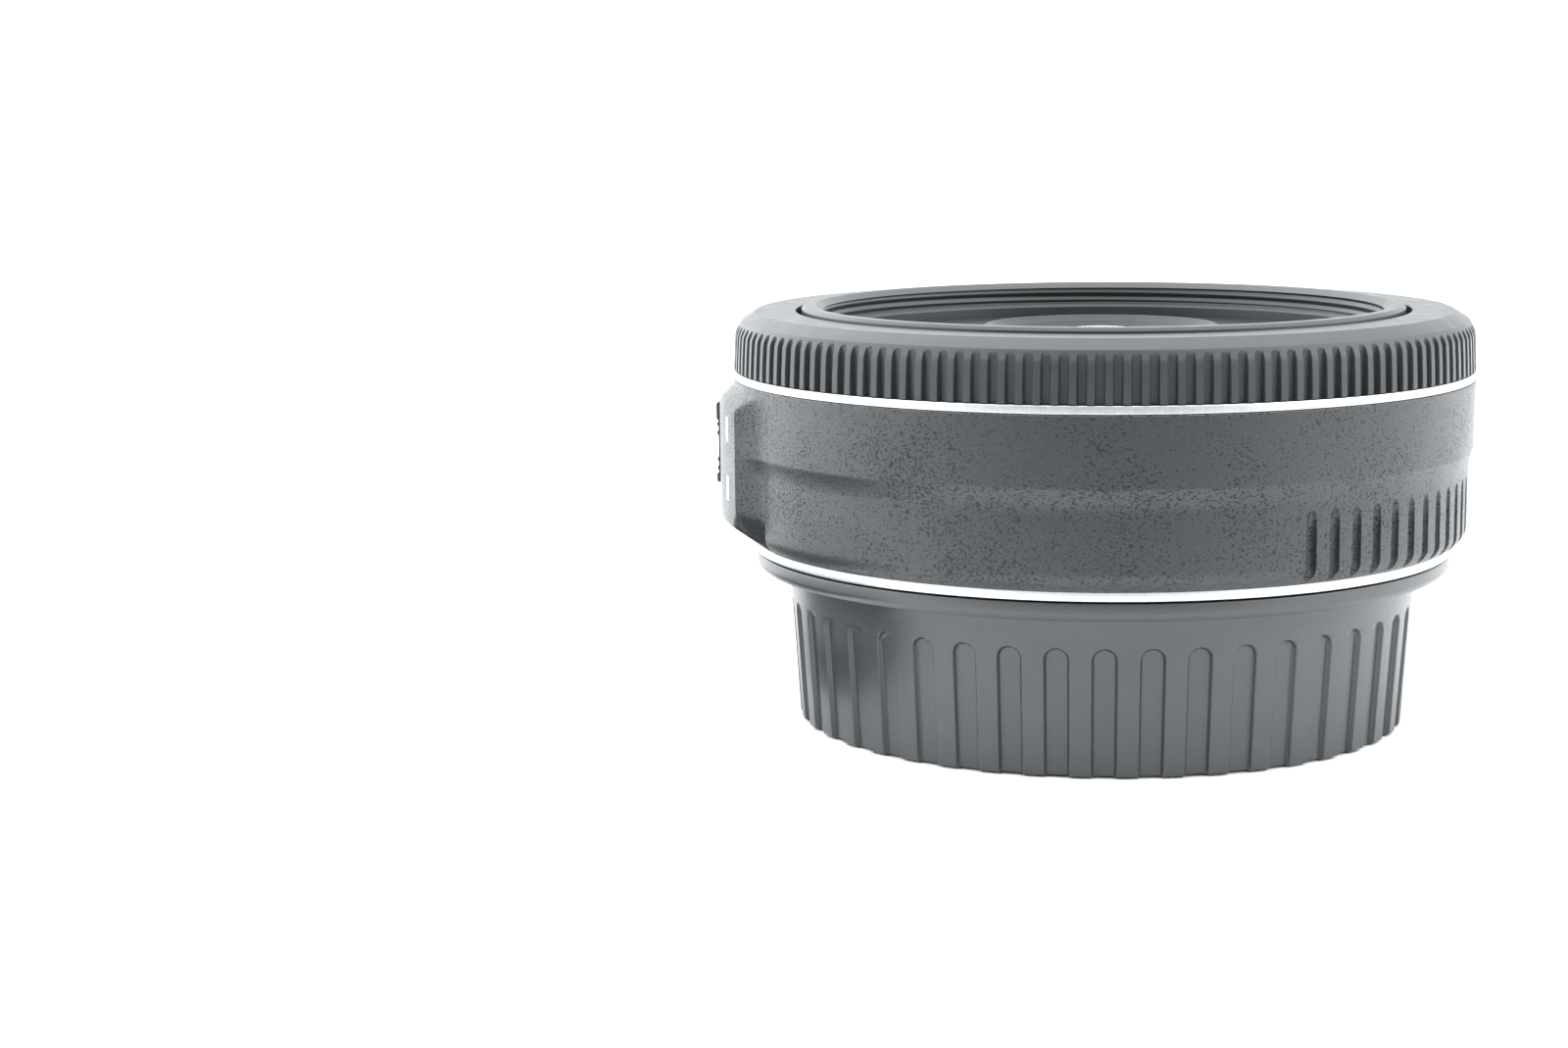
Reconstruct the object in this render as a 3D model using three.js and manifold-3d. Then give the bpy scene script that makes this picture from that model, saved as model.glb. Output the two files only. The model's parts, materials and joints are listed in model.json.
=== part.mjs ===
// A slim prime camera lens, standing front element up on its fitted rear cap.
//
// Millimetres. z = 0 is the flat end of the rear cap and +Z is the optical axis, towards the subject.
// Bearings are degrees about the optical axis, measured from the top of the lens in use (-Y here)
// and growing towards +X.
import * as THREE from 'three';
import { mergeVertices } from 'three/addons/utils/BufferGeometryUtils.js';
import Module from 'manifold-3d';

const wasm = await Module();
wasm.setup();

// ---- Driving dimensions ----
const BARREL_R = 34.1;          // largest radius, at the focus ring and the barrel's upper band
const LOWER_BARREL_R = 33.6;    // below the small step in the barrel
const SHELL_BORE_R = 32.5;      // inside wall of the barrel shell
const BARREL_LOW_Z = 17.05;     // underside of the barrel shell
const STEP_LOW_Z = 23.9;        // the small step between the two barrel bands
const STEP_HIGH_Z = 25.8;
const SHELL_TOP_Z = 31.9;       // shoulder under the bright trim ring
const SPIGOT_R = 32.35;         // thin collar that the focus ring turns on
const SPIGOT_TOP_Z = 36.6;
const TRIM_RING_TOP_Z = 32.68;

const FLANGE_R = 32.4;          // bayonet flange
const FLANGE_LOW_Z = 16.15;
const FLANGE_TOP_Z = 17.0;
const THROAT_R = 22.8;          // clear hole through the bayonet
const BAYONET_R = 25.0;         // outside of the bayonet tube
const BAYONET_TAB_R = 26.5;
const BAYONET_LOW_Z = 10.6;
const BAYONET_TAB_TOP_Z = 12.2;
const BAYONET_TAB_HALF = 25;    // half width of a tab, degrees
const BAYONET_BEARINGS = [0, 120, 240];
const MOUNT_SCREW_CIRCLE_R = 30.9;
const MOUNT_SCREW_BEARINGS = [45, 135, 225, 315];
const MOUNT_SCREW_SEAT_Z = 16.7;  // floor of the hole for a screw's head, as seen from the back
const LOCK_HOLE_CIRCLE_R = 28.2;
const LOCK_HOLE_BEARING = 100;

const CAP_COLLAR_R = 32.2;
const CAP_COLLAR_TOP_Z = 15.95;
const CAP_BORE_R = 26.95;
const CAP_FLOOR = 1.6;
const CAP_WALL_LOW_R = 28.1;
const CAP_WALL_HIGH_R = 28.9;
const CAP_WALL_TOP_Z = 11.8;
const CAP_FLUTES = 44;            // one on each facet of the cap
const CAP_FLUTE_BEARING = 1.15;
const CAP_FLUTE_WIDTH = 2.15;
const CAP_FLUTE_DEPTH = 0.4;
const CAP_FLUTE_TOP_Z = 11.5;
const CAP_LUG_HALF = 22;          // half width of a bayonet lug inside the cap, degrees

const FOCUS_RING_LOW_Z = 32.74;
const FOCUS_RING_TOP_Z = 38.05;
const FOCUS_RING_BORE_R = 32.7;
const FOCUS_RING_FACE_R = 28.3;   // inner edge of its front face
const FOCUS_RING_GROOVE_R = 33.5; // floor of the grooves between the ribs
const RIBS = 144;
const RIB_BEARING = 1.27;
const RIB_TOP_Z = 36.7;
const COMB_TEETH = 16;            // slots of the encoder comb inside the focus ring

const FRONT_BARREL_R = 27.75;
const FRONT_BARREL_LOW_Z = 23.5;
const FRONT_Z = 38.5;             // front rim, the highest point
const FILTER_BORE_R = 25.8;       // M52 x 0.75 thread, minor radius
const RECESS_R = 25.45;
const NAME_RING_Z = 35.2;         // front face of the flat ring round the front element

const GUIDE_BORE_R = 28.25;
const GUIDE_R = 29.0;
const SLEEVE_BORE_R = 29.3;
const SLEEVE_R = 30.1;
const SLEEVE_LOW_Z = 19.0;
const SLEEVE_TOP_Z = 33.7;
const DECK_LOW_Z = 34.1;
const DECK_TOP_Z = 35.0;
const DECK_R = 31.4;
const FRAME_SCREW_CIRCLE_R = 30.85;
const FRAME_SCREW_BEARINGS = [30, 150, 270];

const CONTACTS = 7;
const CONTACT_SPACING = 8;        // degrees
const CONTACT_CIRCLE_R = 20.9;
const CONTACT_MIDDLE_BEARING = 180;
const BOARD_LOW_Z = 17.3;         // level that the circuit board and the gear plate lie on

const FOCUS_TRAVEL = 5;           // how far the lens unit moves out for the nearest focus
const SLEEVE_TURN = 100;          // turn of the cam sleeve for that travel, degrees
const FOLLOWER_Z = 25.1;
const FOLLOWER_R = 0.8;
const FOLLOWER_BEARINGS = [0, 120, 240];

const GEAR_MODULE = 0.8;
const RING_TEETH = 70;
const IDLER_TEETH = 18;
const PINION_TEETH = 8;
const IDLER_BEARING = 60;         // where the idler meets the teeth inside the cam sleeve
const GEAR_LOW_Z = 19.0;
const GEAR_HEIGHT = 1.6;
const PINION_CIRCLE_R = 20.5;

const IRIS_MODULE = 0.4;
const IRIS_SECTOR_TEETH = 75;     // whole circle's worth; only a sector is cut
const IRIS_PINION_TEETH = 10;
const IRIS_BEARING = 240;         // where the aperture pinion meets the drive ring
const IRIS_RING_TURN = 20;
const IRIS_RING_LOW_Z = 28.1;
const IRIS_RING_TOP_Z = 28.7;
const BLADES = 7;
const BLADE_TURN = 26;            // turn of a blade from open to smallest aperture, degrees
const BLADE_THICKNESS = 0.12;
const BLADE_LEVEL = 0.22;         // spacing of the blades' levels
const BLADE_LOW_Z = 26.3;
const BLADE_PIN_CIRCLE_R = 10.8;
const BLADE_DRIVE_ANGLE = 16;     // from a blade's pivot pin to its drive pin, degrees
const BLADE_PIN_R = 0.35;

const CELL_R = 12.0;              // outside of the cell that holds the front glass

const SWITCH_BEARING = -90;
const SWITCH_PAD_R = 35.45;
const SWITCH_PAD_HALF = 23;       // half width of the raised pad, degrees
const SWITCH_PAD_FOOT_HALF = 30;  // the same at the foot of its flanks
const SWITCH_PAD_TOP_Z = 29.9;
const SWITCH_PAD_TAPER_Z = 20.4;  // below this the pad tapers in
const SWITCH_POCKET_R = 34.4;     // floor of the pocket that the slider runs in
const SWITCH_KNOB_R = 35.8;
const SWITCH_KNOB_LOW_Z = 21.8;   // knob in its front position
const SWITCH_KNOB_TOP_Z = 29.4;
const SWITCH_TRAVEL = 2;
const SWITCH_KNOB_WIDTH = 5.0;
const SWITCH_FOOT_LOW_Z = 25.1;
const SWITCH_FOOT_TOP_Z = 27.3;

const GRIP_PITCH = 4.15;          // degrees between the slots of the grip patches
const GRIP_PATCHES = [[31.6, 29], [-150, 7]];  // first bearing and number of slots
const GRIP_SLOT_WIDTH = 1.08;
const GRIP_SLOT_FLOOR_R = 32.95;

const SEAT = 0.05;                // gap left where two fixed pieces seat on each other
const OUTER_SEGMENTS = 40;
const INNER_SEGMENTS = 24;
const GLASS_SEGMENTS = 20;
const PIN_SEGMENTS = 8;

// ---- Materials ----
function finish(color, roughness, metalness) {
  return () => new THREE.MeshStandardMaterial({ color, roughness, metalness });
}

const barrelPlastic = finish(0x2b2c2e, 0.55, 0.0);
const ringPlastic = finish(0x242527, 0.5, 0.0);
const capPlastic = finish(0x27282a, 0.6, 0.0);
const innerPlastic = finish(0x17181a, 0.75, 0.0);
const bladeSteel = finish(0x1e1f21, 0.45, 0.7);
const satinSilver = finish(0xc4c6c8, 0.3, 1.0);
const plainSteel = finish(0x9a9da0, 0.35, 1.0);
const gold = finish(0xd4a94a, 0.3, 1.0);
const boardGreen = finish(0x1f4a35, 0.6, 0.0);
const chipBlack = finish(0x101113, 0.5, 0.0);
const gearNylon = finish(0xd8d5c8, 0.5, 0.0);
const coatedGlass = finish(0x2a3440, 0.05, 0.0);

// ---- Solid helpers ----
const radians = THREE.MathUtils.degToRad;

function atBearing(radius, bearing, z) {
  const angle = radians(bearing);
  return new THREE.Vector3(radius * Math.sin(angle), -radius * Math.cos(angle), z);
}

function steps(count) {
  return Array.from({ length: count }, (_, index) => index);
}

// Turns a closed three.js geometry into a manifold solid; triangles of no area at an axis are dropped.
function solid(geometry) {
  const bare = geometry.clone();
  bare.deleteAttribute('normal');
  bare.deleteAttribute('uv');
  const merged = mergeVertices(bare, 1e-4);
  const corners = merged.index.array;
  const kept = [];
  for (let i = 0; i < corners.length; i += 3) {
    const [a, b, c] = corners.slice(i, i + 3);
    if (a !== b && b !== c && c !== a) {
      kept.push(a, b, c);
    }
  }
  return new wasm.Manifold(new wasm.Mesh({
    numProp: 3,
    vertProperties: new Float32Array(merged.attributes.position.array),
    triVerts: new Uint32Array(kept),
  }));
}

function geometryOf(shape) {
  const mesh = shape.getMesh();
  const geometry = new THREE.BufferGeometry();
  geometry.setAttribute('position', new THREE.BufferAttribute(mesh.vertProperties, 3));
  geometry.setIndex(new THREE.BufferAttribute(mesh.triVerts, 1));
  geometry.computeVertexNormals();
  return geometry;
}

function cut(body, cutters) {
  return cutters.reduce((left, cutter) => left.subtract(cutter), body);
}

function joined(bodies) {
  return bodies.reduce((whole, body) => whole.add(body));
}

// Turned solid. The profile runs anticlockwise in (radius, z); it starts and ends on the axis or closes.
function turned(profile, segments) {
  const points = profile.map(([radius, z]) => new THREE.Vector2(radius, z));
  if (profile[0][0] > 0) {
    points.push(points[0].clone());
  }
  return solid(new THREE.LatheGeometry(points, segments).rotateX(Math.PI / 2));
}

function tube(innerRadius, outerRadius, lowZ, highZ, segments) {
  return turned([[innerRadius, lowZ], [outerRadius, lowZ], [outerRadius, highZ], [innerRadius, highZ]],
    segments);
}

function disc(radius, lowZ, highZ, segments) {
  return turned([[0, lowZ], [radius, lowZ], [radius, highZ], [0, highZ]], segments);
}

// Upright round pin or hole at a bearing.
function pin(radius, circleRadius, bearing, lowZ, highZ, segments = PIN_SEGMENTS) {
  const centre = atBearing(circleRadius, bearing, 0);
  return disc(radius, lowZ, highZ, segments).translate([centre.x, centre.y, 0]);
}

// Solid lofted through matching convex outlines, capped at both ends.
function loft(outlines) {
  const count = outlines[0].length;
  const last = (outlines.length - 1) * count;
  const index = [];
  for (let row = 0; row < outlines.length - 1; row += 1) {
    for (let i = 0; i < count; i += 1) {
      const a = row * count + i;
      const b = row * count + (i + 1) % count;
      index.push(a, b, b + count, a, b + count, a + count);
    }
  }
  for (let i = 1; i < count - 1; i += 1) {
    index.push(0, i + 1, i, last, last + i, last + i + 1);
  }
  const geometry = new THREE.BufferGeometry();
  const positions = outlines.flat().flatMap((point) => point.toArray());
  geometry.setAttribute('position', new THREE.Float32BufferAttribute(positions, 3));
  geometry.setIndex(index);
  return solid(geometry);
}

// Sweeps a convex (radius, z) section about the axis, through growing bearings. sectionAt gives the
// section at a bearing, clockwise from its low inner corner.
function sweep(bearings, sectionAt) {
  return loft(bearings.map((bearing) => (
    sectionAt(bearing).map(([radius, z]) => atBearing(radius, bearing, z)))));
}

function spread(from, to, count) {
  return steps(count + 1).map((k) => from + (to - from) * k / count);
}

function arcBlock(innerRadius, outerRadius, lowZ, highZ, from, to, count) {
  const section = [[innerRadius, lowZ], [innerRadius, highZ], [outerRadius, highZ], [outerRadius, lowZ]];
  return sweep(spread(from, to, count), () => section);
}

function plate(outline, lowZ, height) {
  const geometry = new THREE.ExtrudeGeometry(new THREE.Shape(outline),
    { depth: height, bevelEnabled: false });
  return solid(geometry.translate(0, 0, lowZ));
}

// Flat (radius, z) outline, thickened evenly to both sides of the radial plane at a bearing.
function radialPlate(outline, thickness, bearing) {
  const shape = new THREE.Shape(outline.map(([radius, z]) => new THREE.Vector2(radius, z)));
  const geometry = new THREE.ExtrudeGeometry(shape, { depth: thickness, bevelEnabled: false });
  geometry.translate(0, 0, -thickness / 2);
  geometry.rotateX(Math.PI / 2);
  geometry.rotateZ(radians(bearing) - Math.PI / 2);
  return solid(geometry);
}

// Round bar along a radius.
function radialPin(radius, innerRadius, outerRadius, bearing, z) {
  const geometry = new THREE.CylinderGeometry(radius, radius, outerRadius - innerRadius, PIN_SEGMENTS);
  geometry.rotateZ(Math.PI / 2);
  geometry.translate((innerRadius + outerRadius) / 2, 0, z);
  geometry.rotateZ(radians(bearing) - Math.PI / 2);
  return solid(geometry);
}

// Straight-sided teeth: 0.8 of a module above the pitch circle and 1.1 below, thinned for backlash.
function gearOutline(teeth, module, toothAngle) {
  const pitchR = teeth * module / 2;
  const tipR = pitchR + 0.8 * module;
  const rootR = pitchR - 1.1 * module;
  const pitch = 2 * Math.PI / teeth;
  const outline = [];
  for (const tooth of steps(teeth)) {
    const middle = toothAngle + tooth * pitch;
    for (const [radius, offset] of [[rootR, -0.27], [tipR, -0.11], [tipR, 0.11], [rootR, 0.27]]) {
      const angle = middle + offset * pitch;
      outline.push(new THREE.Vector2(radius * Math.cos(angle), radius * Math.sin(angle)));
    }
  }
  return outline;
}

function gear(teeth, module, centre, toothAngle, lowZ, height, boreRadius) {
  const wheel = plate(gearOutline(teeth, module, toothAngle), lowZ, height);
  const bore = disc(boreRadius, lowZ - 1, lowZ + height + 1, PIN_SEGMENTS);
  return wheel.subtract(bore).translate([centre.x, centre.y, 0]);
}

// ---- Rear cap ----
function capFlute(bearing) {
  const half = CAP_FLUTE_WIDTH / 2;
  const shape = new THREE.Shape();
  shape.moveTo(-half, -2);
  shape.lineTo(half, -2);
  shape.lineTo(half, CAP_FLUTE_TOP_Z - half);
  shape.absarc(0, CAP_FLUTE_TOP_Z - half, half, 0, Math.PI);
  const geometry = new THREE.ExtrudeGeometry(shape, { depth: 3, bevelEnabled: false, curveSegments: 3 });
  const lean = Math.atan((CAP_WALL_HIGH_R - CAP_WALL_LOW_R) / CAP_WALL_TOP_Z);
  geometry.rotateX(Math.PI / 2 - lean);
  geometry.translate(0, -(CAP_WALL_LOW_R - CAP_FLUTE_DEPTH), 0);
  geometry.rotateZ(radians(bearing));
  return solid(geometry);
}

function rearCap() {
  const cup = turned([
    [0, 0], [CAP_WALL_LOW_R, 0], [CAP_WALL_HIGH_R, CAP_WALL_TOP_Z], [29.2, 14.1],
    [31.7, 14.5], [CAP_COLLAR_R, 15.1], [CAP_COLLAR_R, CAP_COLLAR_TOP_Z], [CAP_BORE_R, CAP_COLLAR_TOP_Z],
    [CAP_BORE_R, CAP_FLOOR], [0, CAP_FLOOR],
  ], CAP_FLUTES).rotate([0, 0, CAP_FLUTE_BEARING + 180 / CAP_FLUTES]);
  const flutes = steps(CAP_FLUTES).map((k) => capFlute(CAP_FLUTE_BEARING + k * 360 / CAP_FLUTES));
  const lugs = BAYONET_BEARINGS.map((bearing) => (
    arcBlock(BAYONET_R + 0.35, CAP_BORE_R + 0.3, BAYONET_TAB_TOP_Z + 0.35, BAYONET_TAB_TOP_Z + 1.7,
      bearing - CAP_LUG_HALF, bearing + CAP_LUG_HALF, 5)));
  return joined([cut(cup, flutes), ...lugs]);
}

// ---- Lens body ----
function gripSlot(bearing) {
  const outline = [
    [GRIP_SLOT_FLOOR_R, 16.5], [35, 16.5], [35, 23.8], [LOWER_BARREL_R, 23.5], [GRIP_SLOT_FLOOR_R, 22.2],
  ];
  return radialPlate(outline, GRIP_SLOT_WIDTH, bearing);
}

// Raised pad with a flat middle, sloping flanks, a sloping top end and a foot that tapers in.
function switchPad() {
  const bearings = [-SWITCH_PAD_FOOT_HALF, ...spread(-SWITCH_PAD_HALF, SWITCH_PAD_HALF, 6),
    SWITCH_PAD_FOOT_HALF];
  return sweep(bearings, (offset) => {
    const crest = Math.abs(offset) > SWITCH_PAD_HALF ? LOWER_BARREL_R : SWITCH_PAD_R;
    const foot = Math.min(crest, 34.3);
    const shoulder = Math.min(crest, 34.0);
    return [
      [33, 17.6], [33, 31.4], [shoulder, 31.4], [crest, SWITCH_PAD_TOP_Z], [crest, SWITCH_PAD_TAPER_Z],
      [foot, 18.5],
    ];
  }).rotate([0, 0, SWITCH_BEARING]);
}

function barrelShell() {
  const shell = turned([
    [29.2, BARREL_LOW_Z], [32.7, BARREL_LOW_Z], [LOWER_BARREL_R, 18.4],
    [LOWER_BARREL_R, STEP_LOW_Z], [34.0, STEP_HIGH_Z], [BARREL_R, SHELL_TOP_Z],
    [SPIGOT_R, SHELL_TOP_Z], [SPIGOT_R, SPIGOT_TOP_Z], [31.5, SPIGOT_TOP_Z], [31.5, 34.05],
    [30.4, 34.05], [30.4, 33.2], [SHELL_BORE_R, 31.5], [SHELL_BORE_R, 18.7], [29.2, 18.7],
  ], OUTER_SEGMENTS);
  const grips = GRIP_PATCHES.flatMap(([first, count]) => (
    steps(count).map((k) => gripSlot(first + k * GRIP_PITCH))));
  const knobRun = SWITCH_KNOB_LOW_Z - SWITCH_TRAVEL - 0.2;
  const pocket = radialPlate([
    [SWITCH_POCKET_R, knobRun], [37, knobRun], [37, SWITCH_KNOB_TOP_Z + 0.15],
    [SWITCH_POCKET_R, SWITCH_KNOB_TOP_Z + 0.15],
  ], SWITCH_KNOB_WIDTH + 0.4, SWITCH_BEARING);
  const footRun = SWITCH_FOOT_LOW_Z - SWITCH_TRAVEL - 0.3;
  const footSlot = radialPlate([
    [31, footRun], [37, footRun], [37, SWITCH_FOOT_TOP_Z + 0.3], [31, SWITCH_FOOT_TOP_Z + 0.3],
  ], 1.8, SWITCH_BEARING);
  const mountHoles = MOUNT_SCREW_BEARINGS.map((bearing) => (
    pin(0.85, MOUNT_SCREW_CIRCLE_R, bearing, 16, 18.75)));
  const deckHoles = FRAME_SCREW_BEARINGS.map((bearing) => (
    pin(0.45, FRAME_SCREW_CIRCLE_R, bearing, 33, 34.5)));
  return cut(shell.add(switchPad()), [...grips, pocket, footSlot, ...mountHoles, ...deckHoles]);
}

function frontTrimRing() {
  return turned([
    [SPIGOT_R + SEAT, SHELL_TOP_Z + SEAT], [BARREL_R, SHELL_TOP_Z + SEAT],
    [BARREL_R, TRIM_RING_TOP_Z], [SPIGOT_R + SEAT, TRIM_RING_TOP_Z],
  ], OUTER_SEGMENTS);
}

function mountPlate() {
  const flange = turned([
    [THROAT_R, BAYONET_LOW_Z], [BAYONET_R, BAYONET_LOW_Z], [BAYONET_R, FLANGE_LOW_Z],
    [FLANGE_R, FLANGE_LOW_Z], [FLANGE_R, FLANGE_TOP_Z], [THROAT_R, FLANGE_TOP_Z],
  ], OUTER_SEGMENTS);
  const tabs = BAYONET_BEARINGS.map((bearing) => (
    arcBlock(BAYONET_R - 0.4, BAYONET_TAB_R, BAYONET_LOW_Z, BAYONET_TAB_TOP_Z,
      bearing - BAYONET_TAB_HALF, bearing + BAYONET_TAB_HALF, 5)));
  const holes = MOUNT_SCREW_BEARINGS.flatMap((bearing) => [
    pin(0.85, MOUNT_SCREW_CIRCLE_R, bearing, 15, 18),
    pin(1.3, MOUNT_SCREW_CIRCLE_R, bearing, 15, MOUNT_SCREW_SEAT_Z),
  ]);
  const lockHole = pin(1.1, LOCK_HOLE_CIRCLE_R, LOCK_HOLE_BEARING, 15, 18);
  return cut(joined([flange, ...tabs]), [...holes, lockHole]);
}

function mountScrew(bearing) {
  const head = pin(1.15, MOUNT_SCREW_CIRCLE_R, bearing, FLANGE_LOW_Z + SEAT, MOUNT_SCREW_SEAT_Z - SEAT);
  const shank = pin(0.7, MOUNT_SCREW_CIRCLE_R, bearing, MOUNT_SCREW_SEAT_Z - 2 * SEAT, 18.5);
  return head.add(shank);
}

function rearBaffle() {
  const rim = disc(THROAT_R - 0.1, 10.75, 11.4, INNER_SEGMENTS);
  const window = solid(new THREE.BoxGeometry(25, 18, 4).translate(0, 0, 11));
  const skirt = tube(THROAT_R - 0.9, THROAT_R - 0.1, 11.3, 13.4, INNER_SEGMENTS);
  const contactGap = arcBlock(17.2, 24, 9, 14, CONTACT_MIDDLE_BEARING - 34, CONTACT_MIDDLE_BEARING + 34, 5);
  return rim.subtract(window).add(skirt).subtract(contactGap);
}

function contactBearing(k) {
  return CONTACT_MIDDLE_BEARING + (k - (CONTACTS - 1) / 2) * CONTACT_SPACING;
}

function contactBlock() {
  const block = arcBlock(19.2, THROAT_R - 0.1, 10.7, 15.6,
    CONTACT_MIDDLE_BEARING - 31, CONTACT_MIDDLE_BEARING + 31, 5);
  const holes = steps(CONTACTS).map((k) => pin(0.8, CONTACT_CIRCLE_R, contactBearing(k), 10, 17));
  return cut(block, holes);
}

function contactPin(k) {
  return pin(0.65, CONTACT_CIRCLE_R, contactBearing(k), 10.3, 16.2);
}

function mainFrame() {
  const guide = turned([
    [GUIDE_BORE_R, 22.2], [GUIDE_R, 22.2], [GUIDE_R, DECK_LOW_Z], [DECK_R, DECK_LOW_Z],
    [DECK_R, DECK_TOP_Z], [GUIDE_BORE_R, DECK_TOP_Z],
  ], OUTER_SEGMENTS);
  const keyways = FOLLOWER_BEARINGS.map((bearing) => radialPlate([
    [27, FOLLOWER_Z - 1.3], [30, FOLLOWER_Z - 1.3],
    [30, FOLLOWER_Z + FOCUS_TRAVEL + 1.3], [27, FOLLOWER_Z + FOCUS_TRAVEL + 1.3],
  ], 2 * FOLLOWER_R + 0.3, bearing));
  const holes = FRAME_SCREW_BEARINGS.map((bearing) => (
    pin(0.45, FRAME_SCREW_CIRCLE_R, bearing, 33, 36)));
  return cut(guide, [...keyways, ...holes]);
}

function frameScrew(bearing) {
  const head = pin(0.5, FRAME_SCREW_CIRCLE_R, bearing, DECK_TOP_Z + SEAT, 35.45);
  const shank = pin(0.33, FRAME_SCREW_CIRCLE_R, bearing, 33.4, DECK_TOP_Z + 2 * SEAT);
  return head.add(shank);
}

// Light fork that the teeth of the encoder comb pass through.
function encoderSensor() {
  return radialPlate([
    [28.9, 35.05], [31.15, 35.05], [31.15, 36.7], [30.65, 36.7], [30.65, 35.5],
    [29.5, 35.5], [29.5, 36.7], [28.9, 36.7],
  ], 4, 180);
}

function circuitBoard() {
  return arcBlock(18.2, 28.6, BOARD_LOW_Z, BOARD_LOW_Z + 0.8, 108, 372, 24);
}

function controllerChip() {
  const body = solid(new THREE.BoxGeometry(5, 5, 0.8));
  const centre = atBearing(23, 250, 18.55);
  return body.rotate([0, 0, 250]).translate(centre.toArray());
}

function switchBoard() {
  return arcBlock(30.75, 31.3, 20, 30, SWITCH_BEARING - 7, SWITCH_BEARING + 7, 4);
}

// ---- Focus drive ----
const RING_PITCH_R = RING_TEETH * GEAR_MODULE / 2;
const IDLER_PITCH_R = IDLER_TEETH * GEAR_MODULE / 2;
const PINION_PITCH_R = PINION_TEETH * GEAR_MODULE / 2;
const IDLER_CIRCLE_R = RING_PITCH_R - IDLER_PITCH_R;
const GEAR_SPACING = IDLER_PITCH_R + PINION_PITCH_R;
const PINION_BEARING = IDLER_BEARING + THREE.MathUtils.radToDeg(Math.acos(
  (IDLER_CIRCLE_R ** 2 + PINION_CIRCLE_R ** 2 - GEAR_SPACING ** 2)
  / (2 * IDLER_CIRCLE_R * PINION_CIRCLE_R)));
const IDLER_CENTRE = atBearing(IDLER_CIRCLE_R, IDLER_BEARING, 0);
const PINION_CENTRE = atBearing(PINION_CIRCLE_R, PINION_BEARING, 0);

// A tooth of the idler points straight at the cam sleeve, into a gap of its teeth.
const IDLER_TOOTH_ANGLE = radians(IDLER_BEARING) - Math.PI / 2;

// Where a meshing gear needs a tooth, so that its teeth fall into the gaps of the gear it meets.
function meshedToothAngle(centre, toothAngle, teeth, otherCentre, otherTeeth) {
  const towards = Math.atan2(otherCentre.y - centre.y, otherCentre.x - centre.x);
  const past = (towards - toothAngle) * teeth / (2 * Math.PI);
  return towards + Math.PI + (past + 0.5) * 2 * Math.PI / otherTeeth;
}

function idlerGear() {
  return gear(IDLER_TEETH, GEAR_MODULE, IDLER_CENTRE, IDLER_TOOTH_ANGLE, GEAR_LOW_Z, GEAR_HEIGHT, 0.9);
}

function motorPinion() {
  const toothAngle = meshedToothAngle(IDLER_CENTRE, IDLER_TOOTH_ANGLE, IDLER_TEETH,
    PINION_CENTRE, PINION_TEETH);
  return gear(PINION_TEETH, GEAR_MODULE, PINION_CENTRE, toothAngle, GEAR_LOW_Z, GEAR_HEIGHT, 0.6);
}

function gearPlate() {
  const base = arcBlock(14, 28.6, BOARD_LOW_Z, BOARD_LOW_Z + 1, 24, 104, 8);
  const postHole = pin(1.0, IDLER_CIRCLE_R, IDLER_BEARING, 17, 19);
  const shaftHole = pin(0.8, PINION_CIRCLE_R, PINION_BEARING, 17, 19);
  return cut(base, [postHole, shaftHole]);
}

function idlerPost() {
  const post = pin(0.8, IDLER_CIRCLE_R, IDLER_BEARING, 17.4, 20.9);
  const collar = pin(1.6, IDLER_CIRCLE_R, IDLER_BEARING, 18.35, 18.9);
  return post.add(collar);
}

function motorPlate() {
  const bridge = arcBlock(15.6, 25.2, 21.0, 21.7, 76, 103, 3);
  const leg = arcBlock(15.6, 25.2, 18.35, 21.2, 101, 103, 1);
  const shaftHole = pin(0.9, PINION_CIRCLE_R, PINION_BEARING, 20, 22);
  return bridge.add(leg).subtract(shaftHole);
}

function focusMotor() {
  const can = pin(3.9, PINION_CIRCLE_R, PINION_BEARING, 21.75, 29.5, 20);
  const shaft = pin(0.5, PINION_CIRCLE_R, PINION_BEARING, 17.4, 21.8);
  return can.add(shaft);
}

function camSlot(bearing) {
  const half = FOLLOWER_R + 0.2;
  const run = SLEEVE_TURN + 5;
  return sweep(spread(bearing + 2.5 - run, bearing + 2.5, 10), (at) => {
    const middle = FOLLOWER_Z + FOCUS_TRAVEL * (bearing - at) / SLEEVE_TURN;
    return [[28, middle - half], [28, middle + half], [31, middle + half], [31, middle - half]];
  });
}

// One tooth of the internal ring, a wedge that narrows towards the axis.
function ringTooth(bearing) {
  const pitch = 360 / RING_TEETH;
  const tipR = RING_PITCH_R - 0.8 * GEAR_MODULE;
  const rootR = SLEEVE_BORE_R + 0.3;
  const corners = [[tipR, -0.11], [rootR, -0.27], [rootR, 0.27], [tipR, 0.11]];
  const outline = corners.map(([radius, offset]) => {
    const corner = atBearing(radius, bearing + offset * pitch, 0);
    return new THREE.Vector2(corner.x, corner.y);
  });
  return plate(outline, GEAR_LOW_Z, GEAR_HEIGHT);
}

function camSleeve() {
  const sleeve = tube(SLEEVE_BORE_R, SLEEVE_R, SLEEVE_LOW_Z, SLEEVE_TOP_Z, OUTER_SEGMENTS);
  const slots = FOLLOWER_BEARINGS.map(camSlot);
  const pitch = 360 / RING_TEETH;
  const behind = Math.ceil(SLEEVE_TURN / pitch) + 2;
  const teeth = steps(behind + 3).map((k) => ringTooth(IDLER_BEARING + (k - behind + 0.5) * pitch));
  return joined([cut(sleeve, slots), ...teeth]);
}

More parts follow.
